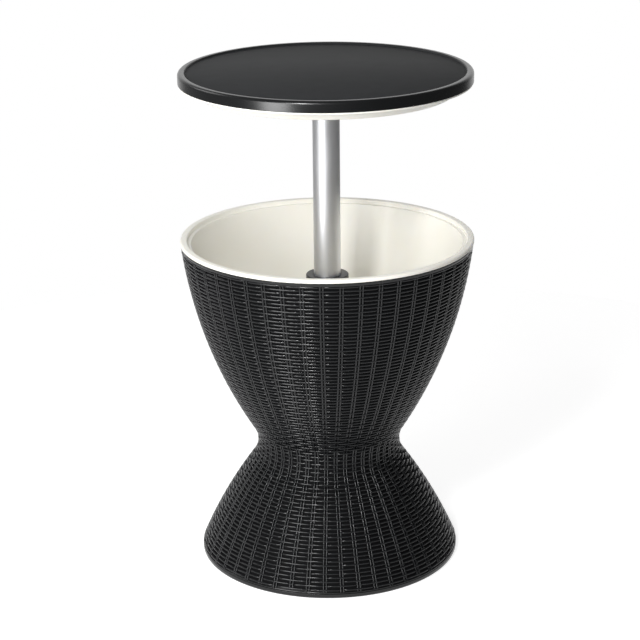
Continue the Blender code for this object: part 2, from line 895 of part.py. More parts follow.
def make_lid_fasteners(top, pan, socket):
    """Screws that hold the pan under the top, and those that hold the socket to both."""
    hole_radius = small_screw_radius + screw_gap
    head_top = lid_bottom - seat_gap
    tip = lid_inside + lid_screw_bite
    holes = upright_rods("lid_screw_holes", hole_radius, head_top, tip + screw_gap, lid_screw_places())
    cut(top, holes)
    cut(pan, holes)
    screws = machine_screws(
        "lid_screw", lid_screw_places(), head_top, tip, small_screw_radius,
        small_screw_head_radius, small_screw_head_height,
    )
    head_top = pole_top - socket_flange_height - seat_gap
    tip = lid_inside + socket_screw_bite
    holes = upright_rods(
        "socket_screw_holes", hole_radius, head_top, tip + screw_gap, socket_screw_places(),
    )
    for holed in (top, pan, socket):
        cut(holed, holes)
    screws += machine_screws(
        "socket_screw", socket_screw_places(), head_top, tip, small_screw_radius,
        small_screw_head_radius, small_screw_head_height,
    )
    return screws


def axis_empty(name, place, parent=None):
    """Empty on a moving group's axis."""
    empty = bpy.data.objects.new(name, None)
    parts.objects.link(empty)
    empty.location = place
    empty.parent = parent
    return empty


def settle(obj):
    """Replace an object's modifiers by the mesh they make, shaded smooth with its edges kept."""
    graph = bpy.context.evaluated_depsgraph_get()
    mesh = bpy.data.meshes.new_from_object(obj.evaluated_get(graph))
    obj.modifiers.clear()
    obj.data = mesh
    mesh.shade_smooth()
    mesh.set_sharp_from_angle(angle=smooth_angle)


def build_table():
    """Whole table: fixed body, drain, sliding ring, and the top that lifts and twists."""
    lift = axis_empty("lift_axis", (0, 0, 0))
    twist = axis_empty("twist_axis", (0, 0, 0), lift)
    drain_lift = axis_empty("drain_axis", (0, drain_offset, 0))
    skirt = make_base_skirt()
    shell = make_bucket_shell()
    tub = make_inner_tub()
    guide = make_guide_tube()
    make_guide_end_cap()
    make_column_collar()
    make_drain(skirt, shell, tub, drain_lift)
    make_waist_fasteners(skirt, shell, tub, guide)
    make_glide_ring(lift)
    socket, moving = make_pole_and_socket()
    top = make_tabletop()
    pan = make_lid_pan()
    moving += [top, pan] + make_lid_fasteners(top, pan, socket)
    for obj in moving:
        obj.parent = twist
    for obj in parts.objects:
        if obj.type == "MESH":
            settle(obj)


build_table()
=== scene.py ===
# %% [markdown]
# A round patio table whose body is a tub for ice and whose top slides down its pole to close that tub.
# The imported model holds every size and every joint, so each piece below takes its place from it and adds
# what the eye wants: smooth curves, woven relief, real screw heads and surfaces that catch light.

# %% Load the frame
import math

import bmesh
import bpy
from mathutils import Matrix, Vector


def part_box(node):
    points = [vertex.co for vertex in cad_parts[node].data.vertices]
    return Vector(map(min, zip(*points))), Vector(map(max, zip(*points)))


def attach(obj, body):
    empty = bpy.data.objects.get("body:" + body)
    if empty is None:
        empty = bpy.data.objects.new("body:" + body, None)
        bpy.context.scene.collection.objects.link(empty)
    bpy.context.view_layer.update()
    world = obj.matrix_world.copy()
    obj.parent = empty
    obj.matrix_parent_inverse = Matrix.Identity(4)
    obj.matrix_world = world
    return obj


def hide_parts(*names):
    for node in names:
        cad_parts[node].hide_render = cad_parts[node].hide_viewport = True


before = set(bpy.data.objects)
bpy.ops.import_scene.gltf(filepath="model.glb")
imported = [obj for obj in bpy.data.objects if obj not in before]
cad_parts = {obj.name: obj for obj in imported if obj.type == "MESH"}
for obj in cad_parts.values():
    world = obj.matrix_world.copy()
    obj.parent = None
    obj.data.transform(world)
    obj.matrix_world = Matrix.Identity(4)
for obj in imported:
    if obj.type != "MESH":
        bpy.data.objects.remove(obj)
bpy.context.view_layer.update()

# %% [markdown]
# The frame's boxes give the driving sizes. A round piece is as wide as its box, and the stack of
# heights tells where one piece ends and the next begins, so no length is guessed twice.

# %% Sizes read from the frame
mm = 0.001


def low(node):
    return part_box(node)[0]


def high(node):
    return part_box(node)[1]


rim_radius = high("inner_tub").x
rim_height = high("inner_tub").z
bucket_top = high("bucket_shell").z
bucket_bottom = low("bucket_shell").z
waist_height = high("base_skirt").z
foot_radius = high("base_skirt").x
open_height = high("tabletop").z
table_radius = high("tabletop").x
pole_radius = high("pole").x
lid_bottom = low("lid_pan").z
print(f"table {2 * rim_radius:.3f} m across, {open_height:.3f} m high")

# %% [markdown]
# The side of the body is three arcs that meet smoothly: a tight one round the waist, and a long shallow
# one up the bucket and one down the skirt. A spline could be drawn through points by eye, but arcs keep
# the curve even, and every woven row can ask them for its radius at any height.

# %% Outline of the woven body
waist_radius = 121.3 * mm
waist_curve = 53.8 * mm
bucket_lean = math.radians(32.1)
skirt_lean = math.radians(36.2)
hoop_height = 11.7 * mm
shell_wall = 3 * mm


def waist_end(angle):
    """Radius and rise of the waist's arc where it leans out by an angle."""
    return waist_radius + waist_curve * (1 - math.cos(angle)), waist_curve * math.sin(angle)


def side_radius(start, lean, end, height):
    """Radius at a height on the arc that leaves start, leaning out by lean, and runs to end."""
    run, rise = end[0] - start[0], abs(end[1] - start[1])
    bend = lean - math.atan2(run, rise)
    curve = math.hypot(run, rise) / (2 * math.sin(bend))
    sine = math.sin(lean) - abs(height - start[1]) / curve
    return start[0] + curve * (math.sqrt(1 - sine * sine) - math.cos(lean))


def body_radius(height):
    """Outer radius of the woven body at a height."""
    rise = height - waist_height
    upper, upper_rise = waist_end(bucket_lean)
    lower, lower_rise = waist_end(skirt_lean)
    if rise > upper_rise:
        rim = (rim_radius, rim_height)
        return side_radius((upper, waist_height + upper_rise), bucket_lean, rim, height)
    if rise < -lower_rise:
        foot = (foot_radius, hoop_height)
        return side_radius((lower, waist_height - lower_rise), skirt_lean, foot, max(height, hoop_height))
    return waist_radius + waist_curve - math.sqrt(waist_curve ** 2 - rise ** 2)


def skin(start, stop, depth, pace=6 * mm):
    """Outline points between two heights, a depth inside the body's outer surface."""
    count = max(1, round(abs(stop - start) / pace))
    points = []
    for step in range(count + 1):
        height = start + (stop - start) * step / count
        slope = (body_radius(height + mm / 10) - body_radius(height - mm / 10)) / (mm / 5)
        points.append((body_radius(height) - depth * math.hypot(1, slope), height, 0))
    return points


mid_bucket = (waist_height + rim_height) / 2
print(f"radius at waist {body_radius(waist_height):.4f}, at mid bucket {body_radius(mid_bucket):.4f}")

# %% [markdown]
# Nearly every moulded piece here is turned, so one function spins an outline about the vertical axis.
# Bevels on the finished solid would also round its edges, but rounding the corners of the outline first
# costs nothing and keeps the mesh even.

# %% Turning and cutting
round_steps = 192
table_steps = 256
small_steps = 96
hole_steps = 32
drain_steps = 64
smooth_angle = math.radians(32)


def rounded(corners, steps=5):
    """Outline through (radius, height, corner radius) points, each corner turned into an arc."""
    outline = []
    for index, (radius, height, corner) in enumerate(corners):
        here = Vector((radius, height))
        if corner == 0:
            outline.append(here)
            continue
        back = (Vector(corners[index - 1][:2]) - here).normalized()
        ahead = (Vector(corners[(index + 1) % len(corners)][:2]) - here).normalized()
        half = back.angle(ahead) / 2
        centre = here + (back + ahead).normalized() * corner / math.sin(half)
        reach = corner / math.tan(half)
        for step in range(steps + 1):
            chord = (here + back * reach).lerp(here + ahead * reach, step / steps)
            outline.append(centre + (chord - centre).normalized() * corner)
    return outline


def plain_object(name, mesh):
    """Object at the origin that shows a mesh."""
    piece = bpy.data.objects.new(name, mesh)
    bpy.context.scene.collection.objects.link(piece)
    return piece


def built_object(name, build):
    """Object that shows a mesh built point by point."""
    mesh = bpy.data.meshes.new(name)
    build.to_mesh(mesh)
    build.free()
    return plain_object(name, mesh)


def turned(name, corners, place=(0, 0), steps=round_steps):
    """Closed solid spun from an outline, whose ends lie on the axis or else join up as a ring."""
    outline = rounded(corners)
    build = bmesh.new()
    points = [build.verts.new((radius, 0, height)) for radius, height in outline]
    edges = [build.edges.new(pair) for pair in zip(points, points[1:])]
    if outline[0][0] > mm / 10:
        edges.append(build.edges.new((points[-1], points[0])))
    bmesh.ops.spin(
        build, geom=points + edges, cent=(0, 0, 0), axis=(0, 0, 1),
        angle=2 * math.pi, steps=steps, use_merge=True,
    )
    bmesh.ops.remove_doubles(build, verts=build.verts, dist=mm / 1000)
    bmesh.ops.recalc_face_normals(build, faces=build.faces)
    bmesh.ops.translate(build, verts=build.verts, vec=(*place, 0))
    return built_object(name, build)


def rods(radius, bottom, top, places, steps=hole_steps):
    """Upright rods that cut holes or join a piece as posts."""
    build = bmesh.new()
    for x, y in places:
        middle = Matrix.Translation((x, y, (bottom + top) / 2))
        bmesh.ops.create_cone(
            build, cap_ends=True, segments=steps, radius1=radius, radius2=radius,
            depth=top - bottom, matrix=middle,
        )
    return built_object("rods", build)


def plain_mesh(piece):
    """Give a piece the mesh that its modifiers make, and take the modifiers off."""
    graph = bpy.context.evaluated_depsgraph_get()
    mesh = bpy.data.meshes.new_from_object(piece.evaluated_get(graph))
    piece.modifiers.clear()
    piece.data = mesh
    return mesh


def settle(piece):
    """Make a piece's modifiers real, and shade it smooth but for its sharp edges."""
    mesh = plain_mesh(piece)
    mesh.shade_smooth()
    mesh.set_sharp_from_angle(angle=smooth_angle)
    return piece


def carve(piece, tool, operation="DIFFERENCE"):
    """Cut a tool out of a piece, or join it on, and throw the tool away."""
    boolean = piece.modifiers.new("carve", "BOOLEAN")
    boolean.operation = operation
    boolean.object = tool
    settle(piece)
    bpy.data.objects.remove(tool)
    return piece


def centres(prefix):
    """Places of the nodes whose names start alike, seen from above."""
    names = sorted(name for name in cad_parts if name.startswith(prefix))
    middles = [(low(name) + high(name)) / 2 for name in names]
    return [(middle.x, middle.y) for middle in middles]


print("screws under the hub:", len(centres("hub_screw")), "| under the lid:", len(centres("lid_screw")))

# %% [markdown]
# The photograph was taken from a little above the table, with a long lens from some three metres away.
# The place, the tilt and the lens below were worked out from the circles of the rims and the foot, which
# are seen as ellipses.

# %% Camera
camera_place = (0, -3.134, 1.485)
camera_pitch = 0.3301
camera_yaw = -0.0042
camera_roll = 0.0104
sensor_width = 36
lens = 110.36

camera = bpy.data.objects.new("camera", bpy.data.cameras.new("camera"))
bpy.context.scene.collection.objects.link(camera)
camera.data.sensor_width = sensor_width
camera.data.lens = lens
camera.matrix_world = (
    Matrix.Translation(camera_place)
    @ Matrix.Rotation(-camera_yaw, 4, "Z")
    @ Matrix.Rotation(math.pi / 2 - camera_pitch, 4, "X")
    @ Matrix.Rotation(-camera_roll, 4, "Z")
)
bpy.context.scene.camera = camera
print(f"camera {camera_place[2]:.2f} m up, looking {math.degrees(camera_pitch):.1f} degrees down")

# %% [markdown]
# Every finish and every pattern below is a tree of nodes. Writing each node out takes four or five lines,
# so one small function adds a node, sets it up and links it in a single line. Most sockets are called by
# name. Where several share a name they go by number: a Mix of colours takes its factor at 0 and its two
# colours at 6 and 7, and gives the mixture at 2, and a Map Range takes its value at 0, the range that it
# comes from at 1 and 2, and the range that it goes to at 3 and 4. A noise lies mostly between 0.3 and 0.7,
# so that is the range to spread. Colours are written as they look on a screen and turned to the linear
# values that the renderer works with.

# %% Nodes, colours and finishes
noise_low = 0.3
noise_high = 0.7


def feed(tree, node, inputs):
    """Set each input of a node to a value, or link it to the socket or node that feeds it."""
    for socket, value in inputs.items():
        if isinstance(value, bpy.types.Node):
            value = value.outputs[0]
        if isinstance(value, bpy.types.NodeSocket):
            tree.links.new(value, node.inputs[socket])
        else:
            node.inputs[socket].default_value = value


def add(tree, kind, inputs={}, **settings):
    """Add a node to a tree: settings are its own, inputs are values, sockets or nodes that feed it."""
    node = tree.nodes.new(kind)
    for name, value in settings.items():
        setattr(node, name, value)
    feed(tree, node, inputs)
    return node


def colour(code):
    """Linear colour of an sRGB hex value."""
    channels = [int(code[place:place + 2], 16) / 255 for place in (1, 3, 5)]
    return (*[c / 12.92 if c <= 0.04045 else ((c + 0.055) / 1.055) ** 2.4 for c in channels], 1)


def new_finish(name, roughness, metallic=0):
    """Material with a Principled shader: the material, its tree, the shader and Object coordinates."""
    material = bpy.data.materials.new(name)
    material.use_nodes = True
    tree = material.node_tree
    shader = tree.nodes["Principled BSDF"]
    shader.inputs["Roughness"].default_value = roughness
    shader.inputs["Metallic"].default_value = metallic
    return material, tree, shader, add(tree, "ShaderNodeTexCoord").outputs["Object"]


def clouded(tree, place, size, detail, dark, light):
    """Clouds of a size, and the colour that drifts between two shades with them."""
    clouds = add(tree, "ShaderNodeTexNoise", {"Vector": place, "Scale": 1 / size, "Detail": detail})
    shades = {0: clouds, 6: colour(dark), 7: colour(light)}
    return clouds, add(tree, "ShaderNodeMix", shades, data_type="RGBA").outputs[2]


def grained(tree, place, size, detail, strength, depth):
    """Grain of a size, and the bump that it raises on the surface."""
    grain = add(tree, "ShaderNodeTexNoise", {"Vector": place, "Scale": 1 / size, "Detail": detail})
    return grain, add(tree, "ShaderNodeBump", {"Height": grain, "Strength": strength, "Distance": depth})


def from_axis(tree, place):
    """Distance of a place from the table's vertical axis."""
    flat = add(tree, "ShaderNodeVectorMath", {0: place, 1: (1, 1, 0)}, operation="MULTIPLY")
    return add(tree, "ShaderNodeVectorMath", {0: flat}, operation="LENGTH").outputs["Value"]


def dress(piece, finish, slot, body, *nodes):
    """Give a piece its finish and its body, and let it stand for the nodes it replaces; the slot is not
    used.
    """
    piece.data.materials.clear()
    piece.data.materials.append(finish)
    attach(piece, body)
    if nodes:
        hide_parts(*nodes)
    return piece


print("wicker black in linear light:", [round(part, 4) for part in colour("#17181a")[:3]])

# %% [markdown]
# The woven body is injection moulded polypropylene with a satin grain. Such resin is nearly black, and all
# its shape shows through highlights: each strand catches a soft line of light along its crown. A slow
# change of shade from strand to strand and a fine grain in the bump keep those lines from looking drawn.

# %% Satin moulded polypropylene, wicker black
def moulded_wicker_finish():
    """Near-black with tight highlights, a grain of 0.7 mm and a slightly uneven shine."""
    finish, tree, shader, place = new_finish("satin_moulded_polypropylene_black", 0.26)
    _, shade = clouded(tree, place, 35 * mm, 3, "#0f1011", "#17181a")
    grain, bump = grained(tree, place, 0.7 * mm, 2, 0.25, 0.05 * mm)
    shine = add(tree, "ShaderNodeMapRange", {0: grain, 1: noise_low, 2: noise_high, 3: 0.13, 4: 0.22})
    feed(tree, shader, {"Base Color": shade, "Roughness": shine, "Normal": bump})
    feed(tree, shader, {"Specular IOR Level": 0.38})
    return finish


def painted_shade_wicker_finish(low_edge, high_edge):
    """The same resin deep between the strands, painted darker there as shade and matt, but satin at the
    foot and the rim.
    """
    finish, tree, shader, place = new_finish("moulded_polypropylene_black_painted_shade", 0.6)
    height = add(tree, "ShaderNodeSeparateXYZ", {0: place}).outputs["Z"]
    above = add(tree, "ShaderNodeMapRange", {0: height, 1: low_edge, 2: low_edge + mm / 2})
    below = add(tree, "ShaderNodeMapRange", {0: height, 1: high_edge, 2: high_edge - mm / 2})
    shaded_recess = add(tree, "ShaderNodeMath", {0: above, 1: below}, operation="MULTIPLY")
    # Painted shade: between the strands the wall gets a darker colour than at the band and the hoop,
    # standing in for the shade in the gaps.
    shades = {0: shaded_recess, 6: colour("#0c0d0e"), 7: colour("#050506")}
    shade = add(tree, "ShaderNodeMix", shades, data_type="RGBA").outputs[2]
    shine = add(tree, "ShaderNodeMapRange", {0: shaded_recess, 3: 0.2, 4: 0.7})
    gloss = add(tree, "ShaderNodeMapRange", {0: shaded_recess, 3: 0.42, 4: 0.1})
    feed(tree, shader, {"Base Color": shade, "Roughness": shine, "Specular IOR Level": gloss})
    return finish


band_bottom = bucket_top - 3.2 * mm
wicker_finish = moulded_wicker_finish()
# The walls' finish paints the gaps between the strands darker, as shade.
painted_shade_finish = painted_shade_wicker_finish(hoop_height, band_bottom)
print("finishes:", wicker_finish.name, painted_shade_finish.name)

# %% [markdown]
# Behind the weave the real wall is one smooth skin, and it shows as black gaps between the strands. The
# wall here is that skin, set back by the depth of the weave, with the deck that closes it at the waist; its
# finish is painted darker than the strands, as the shade in those gaps.
# Its outline is turned, then the bosses are joined on and the holes cut, as they are in the moulding.

# %% Walls behind the weave
groove_depth = 2.0 * mm
band_top = bucket_top + 2.3 * mm
hub_hole = 29.5 * mm
screw_hole = {"hub": 2.8 * mm, "waist": 2.05 * mm}
boss_radius = 6 * mm
boss_height = 14 * mm
drain_hole = 11.4 * mm
drain_place = centres("drain_seat")[0]
deck_top = bucket_bottom + shell_wall
deck_bottom = waist_height - shell_wall
ring_width = 10 * mm
bead_height = 2.4 * mm
bead_groove = 1.2 * mm


def drilled(wall, low_end, high_end):
    """Cut the holes for the screws and the drain through a wall's deck."""
    carve(wall, rods(screw_hole["hub"], low_end, high_end, centres("hub_screw")))
    carve(wall, rods(screw_hole["waist"], low_end, high_end, centres("waist_screw")))
    return carve(wall, rods(drain_hole, low_end, high_end, [drain_place], drain_steps))


def make_bucket_wall():
    """Smooth skin of the bucket with a plain band on top and its deck below."""
    corners = [(hub_hole, bucket_bottom, 0)]
    corners += skin(bucket_bottom, band_bottom, groove_depth)
    corners.append((body_radius(band_bottom), band_bottom, 0.4 * mm))
    corners.append((body_radius(band_top), band_top, 0.8 * mm))
    corners += skin(band_top, deck_top, shell_wall)
    corners.append((hub_hole, deck_top, 0))
    wall = turned("bucket_wall", corners)
    bosses = rods(boss_radius, deck_top - mm, deck_top + boss_height, centres("waist_screw"))
    carve(wall, bosses, "UNION")
    return drilled(wall, bucket_bottom - mm, deck_top + boss_height + mm)


def make_skirt_wall():
    """Smooth skin of the skirt with its deck above, and a bead and a smooth hoop at the foot."""
    foot = foot_radius
    bead = hoop_height - bead_height
    inner_foot = foot - ring_width
    corners = [(hub_hole, waist_height, 0)]
    corners += skin(waist_height, hoop_height, groove_depth)
    corners += [
        (foot, hoop_height, bead_height * 0.7),
        (foot, bead, bead_height * 0.2),
        (foot - bead_groove, bead - bead_groove / 2, 0),
        (foot, bead - bead_groove, bead_groove / 2),
        (foot, 0, 4 * mm),
        (inner_foot, 0, 0.6 * mm),
        (inner_foot, shell_wall, 0.6 * mm),
    ]
    corners += skin(shell_wall, deck_bottom, shell_wall)
    corners.append((hub_hole, deck_bottom, 0))
    return drilled(turned("skirt_wall", corners), deck_bottom - mm, waist_height + mm)


bucket_wall = dress(make_bucket_wall(), painted_shade_finish, "black_wicker_resin", "stand", "bucket_shell")
skirt_wall = dress(make_skirt_wall(), painted_shade_finish, "black_wicker_resin", "stand", "base_skirt")
for wall in (bucket_wall, skirt_wall):
    print(wall.name, len(wall.data.polygons), "faces")

# %% [markdown]
# The weave is a plain basket weave. Forty-eight stakes stand round the body, each a pair of thin rods, and
# flat strands run round it in rows: every strand goes over one stake and under the next, and the row above
# does the opposite. It could be painted on as a bump, but the gaps between the rows are two millimetres
# deep and break up the outline, so it is real geometry. Both halves follow a rule, so Geometry Nodes build
# them. The outline goes in as a line of edges and is divided in half rows, and each of its points carries
# its own radius and lean. One ring of wavy points is then laid along the middle of every row.

# %% Helpers that build and grow geometry node trees
kept_names = ("lean", "row_radius", "aside", "crest", "bend", "sign")


def geometry_tree(name, sizes):
    """Geometry node tree with a mesh in and out and one named input for each size."""
    kinds = {int: "NodeSocketInt", float: "NodeSocketFloat", bpy.types.Material: "NodeSocketMaterial"}
    tree = bpy.data.node_groups.new(name, "GeometryNodeTree")
    tree.interface.new_socket("Geometry", in_out="INPUT", socket_type="NodeSocketGeometry")
    tree.interface.new_socket("Geometry", in_out="OUTPUT", socket_type="NodeSocketGeometry")
    for label, value in sizes.items():
        tree.interface.new_socket(label, in_out="INPUT", socket_type=kinds[type(value)])
    return tree, add(tree, "NodeGroupInput").outputs


def close_tree(tree, shape, material):
    """End a tree: instances made real, the material set, the result put out."""
    real = add(tree, "GeometryNodeRealizeInstances", {"Geometry": shape})
    painted = add(tree, "GeometryNodeSetMaterial", {"Geometry": real, "Material": material})
    add(tree, "NodeGroupOutput", {"Geometry": painted})


def grow(name, points, tree, sizes):
    """Plain mesh that a tree makes from a line of points."""
    line = bpy.data.meshes.new(name)
    line.from_pydata(points, [(end - 1, end) for end in range(1, len(points))], [])
    piece = plain_object(name, line)
    modifier = piece.modifiers.new("grow", "NODES")
    modifier.node_group = tree
    for item in tree.interface.items_tree:
        if item.name in sizes:
            modifier[item.identifier] = sizes[item.name]
    mesh = plain_mesh(piece)
    for label in [item.name for item in mesh.attributes if item.name in kept_names]:
        mesh.attributes.remove(mesh.attributes[label])
    return piece


# %% Sizes of the weave
stake_count = 48
stake_turn = 2 * math.pi / stake_count
first_stake = math.radians(-84.75)
bucket_pitch = 6.45 * mm
skirt_pitch = 6.8 * mm
weave_sizes = {
    "Stakes": stake_count,
    "Strand height": 3.7 * mm,
    "Strand depth": 2.1 * mm,
    "Swell": 0.25 * mm,
    "Dip": 0.8 * mm,
    "Dip start": 2.6 * mm,
    "Dip end": 5.4 * mm,
    "Pinch": 0.5,
    "Rod spacing": 4.8 * mm,
    "Rod width": 3.2 * mm,
    "Rod depth": 2.3 * mm,
    "Rod centre": 1.15 * mm,
    "Rod wave": 0.35 * mm,
    "Wobble": 0.12 * mm,
    "Seed": 7.0,
    "Material": wicker_finish,
    "Rows": 1,
    "Start": 0.0,
}
wobble_length = 22 * mm
print("one stake every", round(math.degrees(stake_turn), 2), "degrees")

# %% [markdown]
# A point of the outline lies at (radius, height). The tree keeps the radius and the lean of the surface as
# attributes, moves the point onto the axis at its height, and lets the ring's instance take them along.
# After the rings are made real, each of their points can be pushed along the surface's own outward
# direction: out where the strand passes over a stake, in where it dips behind the next one.

# %% The part of the tree that strands and stakes share
def rows_of(tree, given):
    """Outline in half rows, whose points know their radius and lean, and the parts of their place."""
    double = add(tree, "ShaderNodeMath", {0: given["Rows"], 1: 2.0}, operation="MULTIPLY")
    count = add(tree, "ShaderNodeMath", {0: double, 1: 1.0}, operation="ADD")
    line = add(tree, "GeometryNodeMeshToCurve", {"Mesh": given["Geometry"]})
    rows = add(tree, "GeometryNodeResampleCurve", {"Curve": line, "Count": count})
    place = add(tree, "ShaderNodeSeparateXYZ", {0: add(tree, "GeometryNodeInputPosition")}).outputs
    slope = add(tree, "ShaderNodeSeparateXYZ", {0: add(tree, "GeometryNodeInputTangent")}).outputs
    lean = add(tree, "ShaderNodeMath", {0: slope["X"], 1: slope["Y"]}, operation="ARCTAN2")
    for label, value in (("lean", lean), ("row_radius", place["X"])):
        known = {"Geometry": rows, "Name": label, "Value": value}
        rows = add(tree, "GeometryNodeStoreNamedAttribute", known)
    return rows, place


def outward(tree):
    """Direction out of the body's surface at each point, from where it is and its row's lean."""
    place = add(tree, "GeometryNodeInputPosition")
    flat = add(tree, "ShaderNodeVectorMath", {0: place, 1: (1, 1, 0)}, operation="MULTIPLY")
    around = add(tree, "ShaderNodeVectorMath", {0: flat}, operation="NORMALIZE")
    lean = add(tree, "GeometryNodeInputNamedAttribute", {"Name": "lean"})
    along = add(tree, "ShaderNodeMath", {0: lean}, operation="COSINE")
    down = add(tree, "ShaderNodeMath", {0: lean}, operation="SINE")
    level = add(tree, "ShaderNodeVectorMath", {0: around, "Scale": along}, operation="SCALE")
    drop = add(tree, "ShaderNodeCombineXYZ", {"Z": down})
    return add(tree, "ShaderNodeVectorMath", {0: level, 1: drop}, operation="SUBTRACT")


def sweep(tree, given, curves, rise, profile, scale):
    """Push curves out of the body by an uneven rise, move a profile along them, and end the tree."""
    noise = add(
        tree, "ShaderNodeTexNoise", {"W": given["Seed"], "Scale": 1 / wobble_length, "Detail": 1.0},
        noise_dimensions="4D",
    )
    wobble = add(tree, "ShaderNodeMath", {0: noise, 1: given["Wobble"]}, operation="MULTIPLY")
    uneven = add(tree, "ShaderNodeMath", {0: rise, 1: wobble}, operation="ADD")
    normal = outward(tree)
    push = add(tree, "ShaderNodeVectorMath", {0: normal, "Scale": uneven}, operation="SCALE")
    woven = add(tree, "GeometryNodeSetPosition", {"Geometry": curves, "Offset": push})
    aimed = add(tree, "GeometryNodeSetCurveNormal", {"Curve": woven, "Normal": normal}, mode="FREE")
    solid = add(
        tree, "GeometryNodeCurveToMesh",
        {"Curve": aimed, "Profile Curve": profile, "Scale": scale, "Fill Caps": True},
    )
    smooth = add(tree, "GeometryNodeSetShadeSmooth", {"Geometry": solid, "Shade Smooth": True})
    close_tree(tree, smooth, given["Material"])


# %% The tree that weaves the strands
ring_points = 10
crowding = 0.55


def strand_tree():
    """Rings of flat strand that pass over one stake and under the next."""
    tree, given = geometry_tree("woven_strands", weave_sizes)
    rows, place = rows_of(tree, given)
    height = add(tree, "ShaderNodeCombineXYZ", {"Z": place["Y"]})
    stack = add(tree, "GeometryNodeSetPosition", {"Geometry": rows, "Position": height})

    waves = add(tree, "ShaderNodeMath", {0: given["Stakes"], 1: 2.0}, operation="DIVIDE")
    points = add(tree, "ShaderNodeMath", {0: waves, 1: float(ring_points)}, operation="MULTIPLY")
    circle = add(tree, "GeometryNodeCurvePrimitiveCircle", {"Resolution": points, "Radius": 1.0})
    order = add(tree, "GeometryNodeInputIndex")
    share = add(tree, "ShaderNodeMath", {0: order, 1: points}, operation="DIVIDE")
    turn = add(tree, "ShaderNodeMath", {0: share, 1: 2 * math.pi}, operation="MULTIPLY")
    wave = add(tree, "ShaderNodeMath", {0: turn, 1: waves}, operation="MULTIPLY")
    swing = add(tree, "ShaderNodeMath", {0: wave}, operation="SINE")
    crowd = add(tree, "ShaderNodeMath", {0: swing, 1: crowding}, operation="MULTIPLY")
    shift = add(tree, "ShaderNodeMath", {0: crowd, 1: waves}, operation="DIVIDE")
    angle = add(tree, "ShaderNodeMath", {0: turn, 1: shift}, operation="SUBTRACT")
    sideways = add(tree, "ShaderNodeMath", {0: angle}, operation="COSINE")
    inward = add(tree, "ShaderNodeMath", {0: angle}, operation="SINE")
    spot = add(tree, "ShaderNodeCombineXYZ", {"X": sideways, "Y": inward})
    half_wave = add(tree, "ShaderNodeMath", {0: math.pi, 1: waves}, operation="DIVIDE")
    aside = add(tree, "ShaderNodeMath", {0: angle, 1: half_wave}, operation="PINGPONG")
    crest = add(tree, "ShaderNodeMath", {0: wave}, operation="COSINE")
    ring = circle
    for label, value in (("aside", aside), ("crest", crest)):
        known = {"Geometry": ring, "Name": label, "Value": value}
        ring = add(tree, "GeometryNodeStoreNamedAttribute", known)
    ring = add(tree, "GeometryNodeSetPosition", {"Geometry": ring, "Position": spot})

    number = add(tree, "GeometryNodeInputIndex")
    middle = add(tree, "ShaderNodeMath", {0: number, 1: 2.0}, operation="MODULO")
    row = add(tree, "ShaderNodeMath", {0: number, 1: 4.0}, operation="MODULO")
    odd = add(tree, "ShaderNodeMath", {0: row, 1: 2.0}, operation="GREATER_THAN")
    step = add(tree, "ShaderNodeMath", {0: odd, 1: half_wave}, operation="MULTIPLY")
    start = add(tree, "ShaderNodeMath", {0: step, 1: given["Start"]}, operation="ADD")
    radius = add(tree, "GeometryNodeInputNamedAttribute", {"Name": "row_radius"})
    laid = add(
        tree, "GeometryNodeInstanceOnPoints",
        {
            "Points": stack,
            "Selection": middle,
            "Instance": ring,
            "Rotation": add(tree, "ShaderNodeCombineXYZ", {"Z": start}),
            "Scale": add(tree, "ShaderNodeCombineXYZ", {"X": radius, "Y": radius, "Z": 1.0}),
        },
    )
    real = add(tree, "GeometryNodeRealizeInstances", {"Geometry": laid})

    turned_by = add(tree, "GeometryNodeInputNamedAttribute", {"Name": "aside"})
    away = add(tree, "ShaderNodeMath", {0: turned_by, 1: radius}, operation="MULTIPLY")
    dip, pinch = [
        add(
            tree, "ShaderNodeMapRange",
            {0: away, 1: given["Dip start"], 2: given["Dip end"], 3: given[label], 4: level},
            interpolation_type="SMOOTHSTEP",
        )
        for label, level in (("Dip", 0.0), ("Pinch", 1.0))
    ]
    level = add(tree, "GeometryNodeInputNamedAttribute", {"Name": "crest"})
    swell = add(tree, "ShaderNodeMapRange", {0: level, 1: 1.0, 2: -1.0, 3: 0.0, 4: given["Swell"]})
    rise = add(tree, "ShaderNodeMath", {0: swell, 1: dip}, operation="SUBTRACT")
    rise = add(tree, "ShaderNodeMath", {0: rise, 1: given["Strand depth"]}, operation="SUBTRACT")

    arc = add(
        tree, "GeometryNodeCurveArc",
        {"Resolution": 6, "Radius": 1.0, "Start Angle": -math.pi / 2, "Sweep Angle": math.pi},
    )
    closed = add(tree, "GeometryNodeSetSplineCyclic", {"Geometry": arc, "Cyclic": True})
    half = add(tree, "ShaderNodeMath", {0: given["Strand height"], 1: 0.5}, operation="MULTIPLY")
    size = add(tree, "ShaderNodeCombineXYZ", {"X": given["Strand depth"], "Y": half, "Z": 1.0})
    profile = add(tree, "GeometryNodeTransform", {"Geometry": closed, "Scale": size})
    sweep(tree, given, real, rise, profile, pinch)
    return tree


strands_grow = strand_tree()
print("strand tree:", len(strands_grow.nodes), "nodes")

